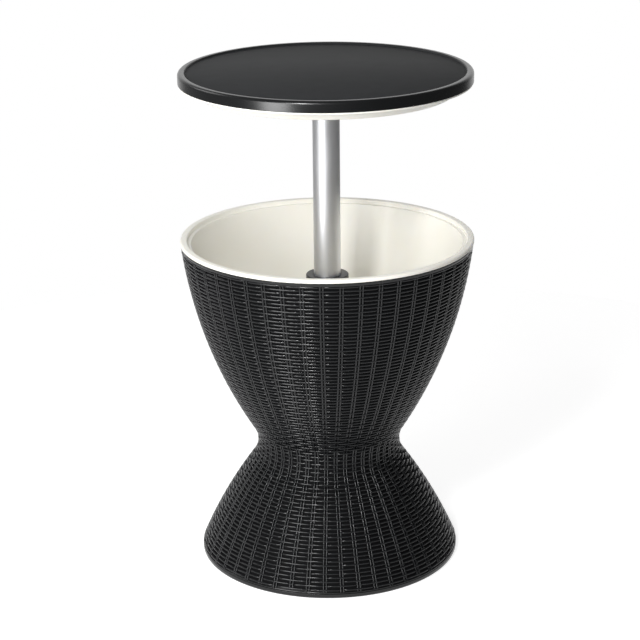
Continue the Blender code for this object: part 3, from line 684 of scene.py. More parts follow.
# %% The tree that sets the stakes
def stake_tree():
    """Pairs of thin rods that stand round the body and weave in and out between the strands."""
    tree, given = geometry_tree("woven_stakes", weave_sizes)
    rows, place = rows_of(tree, given)
    order = add(tree, "GeometryNodeInputIndex")
    halves = add(tree, "ShaderNodeMath", {0: order, 1: 1.0}, operation="SUBTRACT")
    phase = add(tree, "ShaderNodeMath", {0: halves, 1: math.pi / 2}, operation="MULTIPLY")
    bend = add(tree, "ShaderNodeMath", {0: phase}, operation="COSINE")
    rows = add(tree, "GeometryNodeStoreNamedAttribute", {"Geometry": rows, "Name": "bend", "Value": bend})
    both = add(tree, "GeometryNodeJoinGeometry")
    for side in (-0.5, 0.5):
        aside = add(tree, "ShaderNodeMath", {0: given["Rod spacing"], 1: side}, operation="MULTIPLY")
        spot = add(tree, "ShaderNodeCombineXYZ", {"X": place["X"], "Y": aside, "Z": place["Y"]})
        rod = add(tree, "GeometryNodeSetPosition", {"Geometry": rows, "Position": spot})
        tree.links.new(rod.outputs[0], both.inputs[0])

    points = add(tree, "GeometryNodePoints", {"Count": given["Stakes"]})
    number = add(tree, "GeometryNodeInputIndex")
    odd = add(tree, "ShaderNodeMath", {0: number, 1: 2.0}, operation="MODULO")
    sign = add(tree, "ShaderNodeMapRange", {0: odd, 1: 0.0, 2: 1.0, 3: 1.0, 4: -1.0})
    known = {"Geometry": points, "Name": "sign", "Value": sign}
    points = add(tree, "GeometryNodeStoreNamedAttribute", known)
    whole = add(tree, "ShaderNodeMath", {0: 2 * math.pi, 1: given["Stakes"]}, operation="DIVIDE")
    turn = add(tree, "ShaderNodeMath", {0: number, 1: whole}, operation="MULTIPLY")
    angle = add(tree, "ShaderNodeMath", {0: turn, 1: given["Start"]}, operation="ADD")
    spread = add(
        tree, "GeometryNodeInstanceOnPoints",
        {"Points": points, "Instance": both, "Rotation": add(tree, "ShaderNodeCombineXYZ", {"Z": angle})},
    )
    real = add(tree, "GeometryNodeRealizeInstances", {"Geometry": spread})

    bent = add(tree, "GeometryNodeInputNamedAttribute", {"Name": "bend"})
    side = add(tree, "GeometryNodeInputNamedAttribute", {"Name": "sign"})
    wave = add(tree, "ShaderNodeMath", {0: bent, 1: side}, operation="MULTIPLY")
    rise = add(tree, "ShaderNodeMath", {0: wave, 1: given["Rod wave"]}, operation="MULTIPLY")
    rise = add(tree, "ShaderNodeMath", {0: rise, 1: given["Rod centre"]}, operation="SUBTRACT")

    ring = add(tree, "GeometryNodeCurvePrimitiveCircle", {"Resolution": 6, "Radius": 0.5})
    size = add(tree, "ShaderNodeCombineXYZ", {"X": given["Rod depth"], "Y": given["Rod width"], "Z": 1.0})
    profile = add(tree, "GeometryNodeTransform", {"Geometry": ring, "Scale": size})
    sweep(tree, given, real, rise, profile, 1.0)
    return tree


stakes_grow = stake_tree()
print("stake tree:", len(stakes_grow.nodes), "nodes")

# %% [markdown]
# The rows are counted from the rim down, because the top row is the one that meets an edge. The bucket and
# the skirt are two mouldings, and their rows carry on across the waist in step, so that the seam between
# them is hidden in the weave.

# %% Weave the bucket and the skirt
def weave(label, bottom, top, pitch, top_is_even):
    """Strands and stakes between two heights, with whole rows and the pattern's phase set at the top."""
    line = skin(bottom, top, 0, pace=2 * mm)
    rows = round(sum(math.dist(a, b) for a, b in zip(line, line[1:])) / pitch)
    shift = (rows - 1) % 2 if top_is_even else rows % 2
    sizes = {**weave_sizes, "Rows": rows, "Start": first_stake + stake_turn * (1 - shift)}
    strands = grow(f"{label}_strands", line, strands_grow, sizes)
    stakes = grow(f"{label}_stakes", line, stakes_grow, sizes)
    for piece in (strands, stakes):
        dress(piece, wicker_finish, "black_wicker_resin", "stand")
    print(label, rows, "rows,", len(strands.data.polygons), "and", len(stakes.data.polygons), "faces")
    return rows


weave_margin = 2.1 * mm
bucket_rows = weave("bucket", bucket_bottom, bucket_top - weave_margin, bucket_pitch, True)
weave("skirt", hoop_height, waist_height, skirt_pitch, bucket_rows % 2 == 0)

# %% [markdown]
# The inner tub is white polypropylene. It hangs in the bucket by its rim, and a hollow column stands in the
# middle of its floor for the pole to run in. Its wall has one thickness all over, as mouldings have, so
# only the face that shows is drawn and the other face is worked out from it.

# %% Walls of one thickness
mitre_limit = 0.5


def walled(corners, wall):
    """Outline of a wall that runs through the corners and has its other face to the right of them."""
    face = rounded(corners)
    other = []
    for index, here in enumerate(face):
        back = (here - face[index - 1]).normalized() if index else None
        ahead = (face[index + 1] - here).normalized() if index + 1 < len(face) else back
        back = back or ahead
        middle = (back + ahead).normalized()
        right = Vector((middle.y, -middle.x))
        other.append(here + right * wall / max(middle.dot(ahead), mitre_limit))
    return [(point.x, point.y, 0) for point in face + other[::-1]]


print("a line of two points gives a wall of", len(walled([(0, 0, 0), (1, 0, 0)], 1)), "points")

# %% Inner tub
tub_wall = 2.5 * mm
tub_floor = 232 * mm
tub_floor_radius = 114.5 * mm
tub_lean = math.radians(29.5)
tub_ledge = 12 * mm
tub_seat = 6 * mm
tub_seat_drop = 7.5 * mm
fit_gap = 0.3 * mm
tub_lip = rim_height - band_top - fit_gap
column_top = 486 * mm
column_radius = 32 * mm
column_draft = 5 * mm
post_radius = 6.5 * mm
pilot_depth = 16 * mm
cup_depth = 5 * mm
cup_radius = 22 * mm


def tub_side():
    """Inner face of the tub's wall, from above the floor's rounded corner to below the seat."""
    start = (tub_floor_radius, tub_floor)
    end = (rim_radius - tub_ledge - tub_seat, rim_height - tub_seat_drop)
    steps, first = 48, 3
    rise = (end[1] - start[1]) / steps
    heights = [start[1] + rise * step for step in range(first, steps)]
    return [(side_radius(start, tub_lean, end, height), height, 0) for height in heights]


def make_inner_tub():
    """White tub with its stepped rim, hollow column, posts underneath and a sunk cup for the drain."""
    ledge = rim_radius - tub_ledge
    seat_height = rim_height - tub_seat_drop
    corners = [
        (column_radius, column_top, 0),
        (column_radius + column_draft, tub_floor, 6 * mm),
        (tub_floor_radius, tub_floor, 12 * mm),
        *tub_side(),
        (ledge - tub_seat, seat_height, 0.6 * mm),
        (ledge, seat_height, 0.8 * mm),
        (ledge, rim_height, 2.6 * mm),
        (rim_radius, rim_height, 2.8 * mm),
        (rim_radius, rim_height - tub_lip, 0),
    ]
    tub = turned("inner_tub", walled(corners, tub_wall))
    underside = tub_floor - tub_wall
    carve(tub, rods(post_radius, deck_top + fit_gap, underside + mm, centres("hub_screw")), "UNION")
    cup_bottom = tub_floor - cup_depth - tub_wall
    carve(tub, rods(cup_radius + tub_wall, cup_bottom, underside + mm, [drain_place], drain_steps), "UNION")
    carve(tub, rods(cup_radius, tub_floor - cup_depth, tub_floor + mm, [drain_place], drain_steps))
    carve(tub, rods(drain_hole, cup_bottom - mm, tub_floor, [drain_place], drain_steps))
    return carve(tub, rods(screw_hole["hub"], deck_top, deck_top + pilot_depth, centres("hub_screw")))


print(f"tub {(rim_height - tub_floor) / mm:.0f} mm deep, its lip {tub_lip / mm:.1f} mm")

# %% [markdown]
# White polypropylene is slightly warm and lets a little light in, so its shadows stay soft. It is moulded
# against polished steel, and only a faint orange-peel shows in the reflections.

# %% White moulded polypropylene
def moulded_white_finish():
    """Warm white, softly shining, with a slow ripple of eight millimetres and a trace of depth."""
    finish, tree, shader, place = new_finish("moulded_polypropylene_white", 0.34)
    _, shade = clouded(tree, place, 60 * mm, 2, "#f2efe5", "#f6f4ed")
    _, bump = grained(tree, place, 8 * mm, 1, 0.2, 0.05 * mm)
    feed(tree, shader, {
        "Base Color": shade,
        "Normal": bump,
        "Subsurface Weight": 0.1,
        "Subsurface Radius": (4 * mm, 3 * mm, 2 * mm),
        "Subsurface Scale": 1,
    })
    return finish


white_finish = moulded_white_finish()
inner_tub = dress(make_inner_tub(), white_finish, "white_resin", "stand", "inner_tub")
print("tub", len(inner_tub.data.polygons), "faces")

# %% [markdown]
# The top is a shallow black tray: a matt, finely grained field inside a raised lip, and a glossy rim that
# rolls over into a deep edge. A white pan closes it from below, and its middle is a plug that fills the
# mouth of the tub when the top is lowered.

# %% Top and lid
top_bottom = open_height - 18 * mm
tray_height = open_height - 3 * mm
table_wall = 3 * mm
lip_width = 10.5 * mm
lip_slope = 1.8 * mm
lid_wall = 2 * mm
lid_top = high("lid_pan").z
lid_flange = high("lid_pan").x
plug_top = lid_flange - 17 * mm
plug_bottom = plug_top - 11.5 * mm
tray_groove = 0.6 * mm
tray_groove_depth = 0.3 * mm
top_boss_radius = 5 * mm
lid_screw_hole = 2.05 * mm
lid_rings = (75 * mm, 150 * mm)
lid_ring_half = 3 * mm
lid_ring_rise = 0.8 * mm


def make_tabletop():
    """Tray with a thin groove at the foot of its lip, a rolled rim and bosses for the screws."""
    inside = table_radius - lip_width
    corners = [
        (0, tray_height, 0),
        (inside - lip_slope - 2 * tray_groove, tray_height, 0),
        (inside - lip_slope - tray_groove, tray_height - tray_groove_depth, 0),
        (inside - lip_slope, tray_height, 0),
        (inside, open_height, 2.6 * mm),
        (table_radius, open_height, 5.2 * mm),
        (table_radius, top_bottom + 0.6 * mm, 0),
        (table_radius - 0.6 * mm, top_bottom, 0),
    ]
    top = turned("tabletop", walled(corners, table_wall), steps=table_steps)
    places = centres("lid_screw") + centres("socket_screw")
    boss_bottom = lid_bottom + lid_wall + fit_gap
    boss_top = tray_height - table_wall + mm
    carve(top, rods(top_boss_radius, boss_bottom, boss_top, places), "UNION")
    return carve(top, rods(lid_screw_hole, lid_bottom, lid_bottom + lid_wall + pilot_depth, places))


def make_lid_pan():
    """White pan whose middle plugs the tub's mouth, with two shallow stiffening rings underneath."""
    corners = [(0, lid_bottom, 0)]
    for ring in lid_rings:
        corners += [
            (ring - lid_ring_half, lid_bottom, mm),
            (ring - lid_ring_half / 2, lid_bottom + lid_ring_rise, mm),
            (ring + lid_ring_half / 2, lid_bottom + lid_ring_rise, mm),
            (ring + lid_ring_half, lid_bottom, mm),
        ]
    corners += [
        (plug_bottom, lid_bottom, 4 * mm),
        (plug_top, lid_top - lid_wall, 1.5 * mm),
        (lid_flange, lid_top - lid_wall, 0),
    ]
    pan = turned("lid_pan", walled(corners, -lid_wall), steps=table_steps)
    places = centres("lid_screw") + centres("socket_screw")
    return carve(pan, rods(lid_screw_hole, lid_bottom - mm, lid_bottom + lid_wall + mm, places))


print(f"top {2 * table_radius:.3f} m across, {(open_height - top_bottom) / mm:.0f} mm deep at its edge")

# %% [markdown]
# The field of the top is textured in the mould to hide scratches: a grain of about a millimetre that
# scatters light and makes it look grey beside the polished rim. One material does both, and the distance
# from the middle decides where the grain ends.

# %% Grained and polished polypropylene
def moulded_top_finish():
    """Grey matt field with a millimetre grain and faint mottling, and a smooth, glossy black rim."""
    finish, tree, shader, place = new_finish("grained_polypropylene_black", 0.5)
    edge = table_radius - lip_width - lip_slope
    rim = add(tree, "ShaderNodeMapRange", {0: from_axis(tree, place), 1: edge, 2: edge + 2 * mm})
    _, field = clouded(tree, place, 28 * mm, 4, "#282a2b", "#323335")
    shades = {0: rim, 6: field, 7: colour("#0e0f10")}
    shade = add(tree, "ShaderNodeMix", shades, data_type="RGBA").outputs[2]
    shine = add(tree, "ShaderNodeMapRange", {0: rim, 3: 0.6, 4: 0.26})
    gloss = add(tree, "ShaderNodeMapRange", {0: rim, 3: 0.1, 4: 0.5})
    relief = add(tree, "ShaderNodeMapRange", {0: rim, 3: 0.5, 4: 0.05})
    _, bump = grained(tree, place, 1.1 * mm, 2, relief, 0.08 * mm)
    feed(tree, shader, {"Base Color": shade, "Roughness": shine, "Normal": bump})
    feed(tree, shader, {"Specular IOR Level": gloss})
    return finish


top_finish = moulded_top_finish()
tabletop = dress(make_tabletop(), top_finish, "black_resin", "top", "tabletop")
lid_pan = dress(make_lid_pan(), white_finish, "white_resin", "top", "lid_pan")
print("top", len(tabletop.data.polygons), "faces, lid", len(lid_pan.data.polygons), "faces")

# %% [markdown]
# The pole is drawn aluminium tube, anodised. Drawing leaves fine lines along it, and anodising turns the
# mirror of bare metal into a satin that still shows a soft picture of the room from side to side.

# %% Pole and socket
pole_bottom = low("pole").z
pole_top = high("pole").z
pole_wall = 1.5 * mm
socket_radius = high("pole_socket").x
socket_top = high("pole_socket").z
socket_bottom = low("pole_socket").z
socket_bore = pole_radius + fit_gap
socket_hub = socket_bore + 5 * mm
socket_flange = 4 * mm
pin_hole = 2.8 * mm


def cross_rod(radius, length, height):
    """Rod that lies across the pole, along X, at a height."""
    build = bmesh.new()
    flat = Matrix.Translation((0, 0, height)) @ Matrix.Rotation(math.pi / 2, 4, "Y")
    bmesh.ops.create_cone(
        build, cap_ends=True, segments=hole_steps, radius1=radius, radius2=radius,
        depth=length, matrix=flat,
    )
    return built_object("rod", build)


def middle_of(node):
    return (low(node).z + high(node).z) / 2


def make_pole():
    """Tube with eased ends and a hole for each of its two cross pins."""
    inside = pole_radius - pole_wall
    ease = 0.4 * mm
    corners = [
        (pole_radius, pole_bottom, ease),
        (pole_radius, pole_top, ease),
        (inside, pole_top, ease),
        (inside, pole_bottom, ease),
    ]
    pole = turned("pole", corners)
    for pin in ("foot_pin", "socket_pin"):
        carve(pole, cross_rod(pin_hole, 4 * pole_radius, middle_of(pin)))
    return pole


def make_socket():
    """Flanged cup that grips the pole's upper end under the lid."""
    flange_bottom = socket_top - socket_flange
    corners = [
        (socket_bore, socket_bottom, 0.5 * mm),
        (socket_hub, socket_bottom, 1.2 * mm),
        (socket_hub, flange_bottom, 3 * mm),
        (socket_radius, flange_bottom, 1.2 * mm),
        (socket_radius, socket_top, 0.3 * mm),
        (socket_bore, socket_top, 0),
    ]
    socket = turned("pole_socket", corners)
    carve(socket, rods(lid_screw_hole, socket_bottom, socket_top + mm, centres("socket_screw")))
    return carve(socket, cross_rod(pin_hole, 4 * socket_hub, middle_of("socket_pin")))


print(f"pole {2 * pole_radius / mm:.0f} mm across, {(pole_top - pole_bottom) / mm:.0f} mm long")

# %% Satin anodised aluminium
def anodised_finish():
    """Pale metal whose shine is drawn out along the tube by lines half a millimetre apart."""
    finish, tree, shader, place = new_finish("satin_anodised_aluminium", 0.36, metallic=1)
    drawn = add(tree, "ShaderNodeMapping", {"Vector": place, "Scale": (1, 1, 0.008)})
    lines, bump = grained(tree, drawn, 0.5 * mm, 2, 0.25, 0.02 * mm)
    shine = add(tree, "ShaderNodeMapRange", {0: lines, 1: noise_low, 2: noise_high, 3: 0.43, 4: 0.53})
    feed(tree, shader, {"Base Color": colour("#dedfe2"), "Roughness": shine, "Normal": bump})
    return finish


metal_finish = anodised_finish()
dress(make_pole(), metal_finish, "satin_aluminium", "top", "pole")
dress(make_socket(), metal_finish, "satin_aluminium", "top", "pole_socket")
print("finishes so far:", ", ".join(item.name for item in bpy.data.materials))

# %% [markdown]
# The pole slides through a grey guide tube that hangs below the waist inside the skirt. Two grooves run
# down its bore for the keys of the pole's foot, and at each end of the travel a pair of pockets lets the
# foot's lugs turn out of the grooves and lock. A black collar covers its top, over the rubber ring that
# wipes the pole.

# %% Guide tube, collar and wiper
guide_bore = 22.8 * mm
guide_radius = high("guide_tube").y
guide_outer = 29 * mm
guide_top = high("guide_tube").z
guide_bottom = low("guide_tube").z
guide_flange_top = deck_bottom - fit_gap
guide_flange_bottom = guide_flange_top - 4 * mm
groove_width = 8 * mm
groove_radius = 25.6 * mm
collar_top = high("column_collar").z
collar_bottom = low("column_collar").z
collar_radius = high("column_collar").x
collar_bore = guide_bore + fit_gap
collar_inside = collar_radius - 3 * mm
collar_cap = 3 * mm
wiper_top = high("pole_wiper").z
wiper_bottom = low("pole_wiper").z
wiper_radius = high("pole_wiper").x
cap_radius = high("guide_end_cap").x
cap_bottom = low("guide_end_cap").z
cap_top = high("guide_end_cap").z
cap_wall = 2.5 * mm
cap_hole = 4 * mm
wiper_lip = 2 * mm


def make_guide_tube():
    """Long tube with a clamping flange and the holes for the hub screws; its grooves and pockets are cut
    below.
    """
    corners = [
        (guide_bore, guide_bottom, 0.4 * mm),
        (guide_outer, guide_bottom, 0.6 * mm),
        (guide_outer, guide_flange_bottom, 2 * mm),
        (guide_radius, guide_flange_bottom, mm),
        (guide_radius, guide_flange_top, 0.3 * mm),
        (guide_outer, guide_flange_top, 0),
        (guide_outer, guide_top, 0.6 * mm),
        (guide_bore, guide_top, 0.4 * mm),
    ]
    guide = turned("guide_tube", corners)
    low_end, high_end = guide_flange_bottom - mm, guide_flange_top + mm
    return carve(guide, rods(screw_hole["hub"], low_end, high_end, centres("hub_screw")))


def make_end_cap():
    """Cap pushed on to the guide's lower end, with a hole in its floor for water."""
    corners = [
        (cap_hole, cap_bottom, 0.4 * mm),
        (cap_radius, cap_bottom, 1.5 * mm),
        (cap_radius, cap_top, 0.8 * mm),
        (cap_radius - cap_wall, cap_top, 0.3 * mm),
        (cap_radius - cap_wall, cap_bottom + cap_wall, 0),
        (cap_hole, cap_bottom + cap_wall, 0.4 * mm),
    ]
    return turned("guide_end_cap", corners)


def make_collar():
    """Collar that turns over the column's top and leaves the pole a narrow gap."""
    corners = [
        (collar_inside, collar_bottom, 0.4 * mm),
        (collar_radius, collar_bottom, 0.6 * mm),
        (collar_radius, collar_top, 1.5 * mm),
        (collar_bore, collar_top, 0.6 * mm),
        (collar_bore, collar_top - collar_cap, 0.3 * mm),
        (collar_inside, collar_top - collar_cap, 0),
    ]
    return turned("column_collar", corners)


def make_wiper():
    """Flat rubber ring whose thinned lip bears on the pole."""
    corners = [
        (guide_bore, wiper_bottom + 0.8 * mm, 0),
        (guide_bore + wiper_lip, wiper_bottom, 0.3 * mm),
        (wiper_radius, wiper_bottom, 0.3 * mm),
        (wiper_radius, wiper_top, 0.3 * mm),
        (guide_bore + wiper_lip, wiper_top, 0.3 * mm),
        (guide_bore, wiper_top - 0.4 * mm, 0),
    ]
    return turned("pole_wiper", corners)


pole_clearance = guide_bore - pole_radius
print(f"guide {(guide_top - guide_bottom) / mm:.0f} mm long, {pole_clearance / mm:.1f} mm round the pole")

# %% Grooves and pockets of the guide
twist = math.radians(35)
lug_half_turn = math.radians(10.5)
lug_rise = 18.3 * mm
lug_bottom = low("glide_ring").z + lug_rise
lug_top = lug_bottom + 12 * mm
lid_plug_depth = 15.2 * mm
travel = lid_bottom + lid_plug_depth - rim_height


def wedge(start, stop, bottom, top):
    """Slice of a disc that cuts a pocket into the guide's bore."""
    build = bmesh.new()
    steps = 12
    for height in (bottom, top):
        build.verts.new((0, 0, height))
        for step in range(steps + 1):
            angle = start + (stop - start) * step / steps
            build.verts.new((groove_radius * math.cos(angle), groove_radius * math.sin(angle), height))
    bmesh.ops.convex_hull(build, input=build.verts)
    return built_object("wedge", build)


def grooves():
    """Pair of upright blocks that run down the bore for the keys."""
    build = bmesh.new()
    height = pole_bottom - guide_bottom + mm
    out = groove_radius - groove_width / 2
    block = Matrix.Diagonal((groove_width, groove_width, height, 1))
    for side in (-1, 1):
        middle = Matrix.Translation((side * out, 0, pole_bottom - height / 2))
        bmesh.ops.create_cube(build, size=1, matrix=middle @ block)
    return built_object("grooves", build)


guide_tube = carve(make_guide_tube(), grooves())
for drop in (0, travel):
    bottom, top = lug_bottom - fit_gap - drop, lug_top + fit_gap - drop
    for side in (0, math.pi):
        carve(guide_tube, wedge(side, side + twist + lug_half_turn, bottom, top))
print("guide", len(guide_tube.data.polygons), "faces")

# %% [markdown]
# Grey polypropylene for the parts that slide, black for those that show, and rubber for the seals. They
# come from different moulds, so each has its own grain: sparkling fine on the black, a little coarser on
# the grey, and quite dull on the rubber.

# %% Smooth resins and rubber
def moulded_grey_finish():
    """Mid-grey satin with the faint streaks that flow leaves in a long moulding."""
    finish, tree, shader, place = new_finish("satin_moulded_polypropylene_grey", 0.42)
    flow = add(tree, "ShaderNodeMapping", {"Vector": place, "Scale": (1, 1, 0.15)})
    _, shade = clouded(tree, flow, 12 * mm, 3, "#7d7f81", "#8d8f91")
    _, bump = grained(tree, place, 0.9 * mm, 1, 0.25, 0.04 * mm)
    feed(tree, shader, {"Base Color": shade, "Normal": bump})
    return finish


def moulded_black_finish():
    """Black satin with a fine, even sparkle."""
    finish, tree, shader, place = new_finish("satin_moulded_polypropylene_plain_black", 0.38)
    _, shade = clouded(tree, place, 15 * mm, 3, "#161719", "#1e1f21")
    _, bump = grained(tree, place, 0.6 * mm, 1, 0.3, 0.03 * mm)
    feed(tree, shader, {"Base Color": shade, "Normal": bump})
    return finish


def moulded_rubber_finish():
    """Dull, very dark rubber with a powdery bloom in patches."""
    finish, tree, shader, place = new_finish("moulded_nitrile_rubber", 0.7)
    bloom, shade = clouded(tree, place, 6 * mm, 4, "#131313", "#242424")
    dull = add(tree, "ShaderNodeMapRange", {0: bloom, 3: 0.6, 4: 0.85})
    feed(tree, shader, {"Base Color": shade, "Roughness": dull})
    return finish


def zinc_finish():
    """Bright grey metal with the slightly mottled shine of plating."""
    finish, tree, shader, place = new_finish("zinc_plated_steel", 0.32, metallic=1)
    clouds, shade = clouded(tree, place, 2.5 * mm, 3, "#b9bbb8", "#d0d2d0")
    shine = add(tree, "ShaderNodeMapRange", {0: clouds, 3: 0.24, 4: 0.42})
    feed(tree, shader, {"Base Color": shade, "Roughness": shine})
    return finish


grey_finish = moulded_grey_finish()
black_finish = moulded_black_finish()
rubber_finish = moulded_rubber_finish()
steel_finish = zinc_finish()
dress(guide_tube, grey_finish, "grey_resin", "stand", "guide_tube")
dress(make_end_cap(), black_finish, "black_resin", "stand", "guide_end_cap")
dress(make_collar(), black_finish, "black_resin", "stand", "column_collar")
dress(make_wiper(), rubber_finish, "rubber", "stand", "pole_wiper")
print("finishes so far:", len(bpy.data.materials))

# %% [markdown]
# The drain is a flanged spout through the floor of the tub and both decks, sealed by a rubber ring and
# clamped by a six-sided nut below. A stopper with a finger knob closes it.

# %% Drain
seat_radius = high("drain_seat").x
seat_top = high("drain_seat").z
seat_bottom = low("drain_seat").z
seat_flange = 2.5 * mm
spout_radius = 11 * mm
spout_bore = 8.5 * mm
nut_radius = high("drain_nut").x
nut_top = high("drain_nut").z
nut_bottom = low("drain_nut").z
knob_top = high("drain_plug").z
plug_low = low("drain_plug").z
plug_radius = high("drain_plug").x
plug_stem = 8.2 * mm
plug_neck = 4.5 * mm
knob_radius = 8.5 * mm
knob_bottom = knob_top - 5 * mm
plug_head = 3 * mm


def make_drain_seat():
    """Spout with a flange whose upper edge is eased so that water runs in."""
    flange_bottom = seat_top - seat_flange
    corners = [
        (spout_bore, seat_bottom, 0.5 * mm),
        (spout_radius, seat_bottom, 0.5 * mm),
        (spout_radius, flange_bottom, 0),
        (seat_radius, flange_bottom, 0.4 * mm),
        (seat_radius, seat_top, 1.2 * mm),
        (spout_bore, seat_top, 0.3 * mm),
    ]
    return turned("drain_seat", corners, place=drain_place, steps=small_steps)


def make_drain_nut():
    """Six-sided nut with eased edges."""
    nut = rods(nut_radius, nut_bottom, nut_top, [drain_place], 6)
    nut.name = "drain_nut"
    carve(nut, rods(drain_hole, nut_bottom - mm, nut_top + mm, [drain_place], drain_steps))
    bevel = nut.modifiers.new("edges", "BEVEL")
    bevel.width = 0.5 * mm
    bevel.segments = 2
    return settle(nut)


def make_drain_plug():
    """Stopper with a tapered stem, a sealing head and a rounded knob."""
    head_low = seat_top + fit_gap
    corners = [
        (0, plug_low, 0),
        (plug_stem - 0.8 * mm, plug_low, 0.8 * mm),
        (plug_stem, head_low, 0.2 * mm),
        (plug_radius, head_low, 0.5 * mm),
        (plug_radius, head_low + plug_head, 1.2 * mm),
        (plug_neck, head_low + plug_head, 2 * mm),
        (plug_neck, knob_bottom, 1.2 * mm),
        (knob_radius, knob_bottom, 1.6 * mm),
        (knob_radius, knob_top, 1.8 * mm),
        (0, knob_top, 0),
    ]
    return turned("drain_plug", corners, place=drain_place, steps=small_steps)


dress(make_drain_seat(), grey_finish, "grey_resin", "stand", "drain_seat")
dress(make_drain_nut(), grey_finish, "grey_resin", "stand", "drain_nut")
dress(make_drain_plug(), black_finish, "black_resin", "plug", "drain_plug")
print(f"drain {2 * spout_bore / mm:.0f} mm wide inside")

# %% [markdown]
# Nineteen screws hold the table together, in sets. A set is one shape repeated at known places, which is
# work for Geometry Nodes: the tree turns a pan head and a ridged shank, presses a cross into the head, and
# puts a copy at each place. The places come in as bare points, and the sizes are inputs, so one tree
# serves every set. The dome and the slots are given in parts of the head's own radius and height.

# %% The tree that makes a set of screws
screw_sizes = ("Head radius", "Head height", "Shank radius", "Shank length")
head_fall = 0.8
slot_length = 1.15
slot_width = 0.26
slot_height = 0.55
shank_root = 0.43 * mm
thread_pitch = 1.5 * mm
thread_step = 0.5 * mm
thread_waist = 0.8


def lifted(tree, shape, height):
    """Shape moved up by a height."""
    rise = add(tree, "ShaderNodeCombineXYZ", {"Z": height})
    return add(tree, "GeometryNodeTransform", {"Geometry": shape, "Translation": rise})


def screw_tree():
    """Pan-headed screws that point up, one at each point that comes in."""
    sizes = {**dict.fromkeys(screw_sizes, 0.0), "Material": steel_finish}
    tree, given = geometry_tree("screw_set", sizes)
    head = add(
        tree, "GeometryNodeMeshCylinder",
        {
            "Vertices": 32,
            "Side Segments": 6,
            "Fill Segments": 4,
            "Radius": given["Head radius"],
            "Depth": given["Head height"],
        },
    )
    place = add(tree, "GeometryNodeInputPosition")
    parts = add(tree, "ShaderNodeSeparateXYZ", {0: place}).outputs
    out = from_axis(tree, place)
    half = add(tree, "ShaderNodeMath", {0: given["Head height"], 1: 0.5}, operation="MULTIPLY")
    below = add(tree, "ShaderNodeMath", {0: parts["Z"], 1: half}, operation="SUBTRACT")
    depth = add(tree, "ShaderNodeMath", {0: below, 1: given["Head height"]}, operation="DIVIDE")
    share = add(tree, "ShaderNodeMath", {0: out, 1: given["Head radius"]}, operation="DIVIDE")
    dome = add(tree, "ShaderNodeMath", {0: share, 1: 3.0}, operation="POWER")
    curl = add(tree, "ShaderNodeMath", {0: dome, 1: depth}, operation="MULTIPLY")
    lift = add(tree, "ShaderNodeMath", {0: curl, 1: half}, operation="MULTIPLY")
    lift = add(tree, "ShaderNodeMath", {0: lift, 1: -head_fall}, operation="MULTIPLY")
    fall = add(tree, "ShaderNodeCombineXYZ", {"Z": lift})
    domed = add(tree, "GeometryNodeSetPosition", {"Geometry": head, "Offset": fall})
    slots = add(tree, "GeometryNodeJoinGeometry")
    long = add(tree, "ShaderNodeMath", {0: given["Head radius"], 1: slot_length}, operation="MULTIPLY")
    wide = add(tree, "ShaderNodeMath", {0: given["Head radius"], 1: slot_width}, operation="MULTIPLY")
    sunk = add(tree, "ShaderNodeMath", {0: given["Head height"], 1: -slot_height}, operation="MULTIPLY")
    for across, along in ((long, wide), (wide, long)):
        size = add(tree, "ShaderNodeCombineXYZ", {"X": across, "Y": along, "Z": given["Head height"]})
        bar = add(tree, "GeometryNodeMeshCube", {"Size": size})
        feed(tree, slots, {0: lifted(tree, bar, sunk)})
    pressed = add(
        tree, "GeometryNodeMeshBoolean", {"Mesh 1": domed, "Mesh 2": slots, "Self Intersection": True},
        operation="DIFFERENCE", solver="EXACT",
    )
    down = add(tree, "ShaderNodeMath", {0: half, 1: -1.0}, operation="MULTIPLY")
    seated = lifted(tree, pressed, down)

    rings = add(tree, "ShaderNodeMath", {0: given["Shank length"], 1: thread_step}, operation="DIVIDE")
    rooted = add(tree, "ShaderNodeMath", {0: given["Shank length"], 1: shank_root}, operation="ADD")
    shank = add(
        tree, "GeometryNodeMeshCylinder",
        {"Vertices": 24, "Side Segments": rings, "Radius": given["Shank radius"], "Depth": rooted},
    )
    turns = 2 * math.pi / thread_pitch
    level = add(tree, "ShaderNodeMath", {0: parts["Z"], 1: turns}, operation="MULTIPLY")
    ridge = add(tree, "ShaderNodeMath", {0: level}, operation="SINE")
    squeeze = add(tree, "ShaderNodeMapRange", {0: ridge, 1: -1.0, 2: 1.0, 3: thread_waist, 4: 1.0})
    narrow = add(tree, "ShaderNodeCombineXYZ", {"X": squeeze, "Y": squeeze, "Z": 1.0})
    slim = add(tree, "ShaderNodeVectorMath", {0: place, 1: narrow}, operation="MULTIPLY")
    ridged = add(tree, "GeometryNodeSetPosition", {"Geometry": shank, "Position": slim})
    middle = {0: given["Shank length"], 1: 0.5, 2: -shank_root / 2}
    up = add(tree, "ShaderNodeMath", middle, operation="MULTIPLY_ADD")
    joined = add(tree, "GeometryNodeMeshBoolean", {"Mesh 2": seated}, operation="UNION", solver="EXACT")
    feed(tree, joined, {"Mesh 2": lifted(tree, ridged, up)})
    whole = add(tree, "GeometryNodeMergeByDistance", {"Geometry": joined, "Distance": mm / 200})
    spots = add(tree, "GeometryNodeMeshToPoints", {"Mesh": given["Geometry"]})
    copies = add(tree, "GeometryNodeInstanceOnPoints", {"Points": spots, "Instance": whole})
    close_tree(tree, copies, given["Material"])
    return tree


screws_grow = screw_tree()
print("screw tree:", len(screws_grow.nodes), "nodes")

# %% The sets of screws, each with its head's radius and height and its shank's radius
small_screw = (3.8 * mm, 2.4 * mm, 1.75 * mm)
hub_screw = (4.6 * mm, 3 * mm, 2.5 * mm)
foot_screw = (5.8 * mm, 3.5 * mm, 3 * mm)


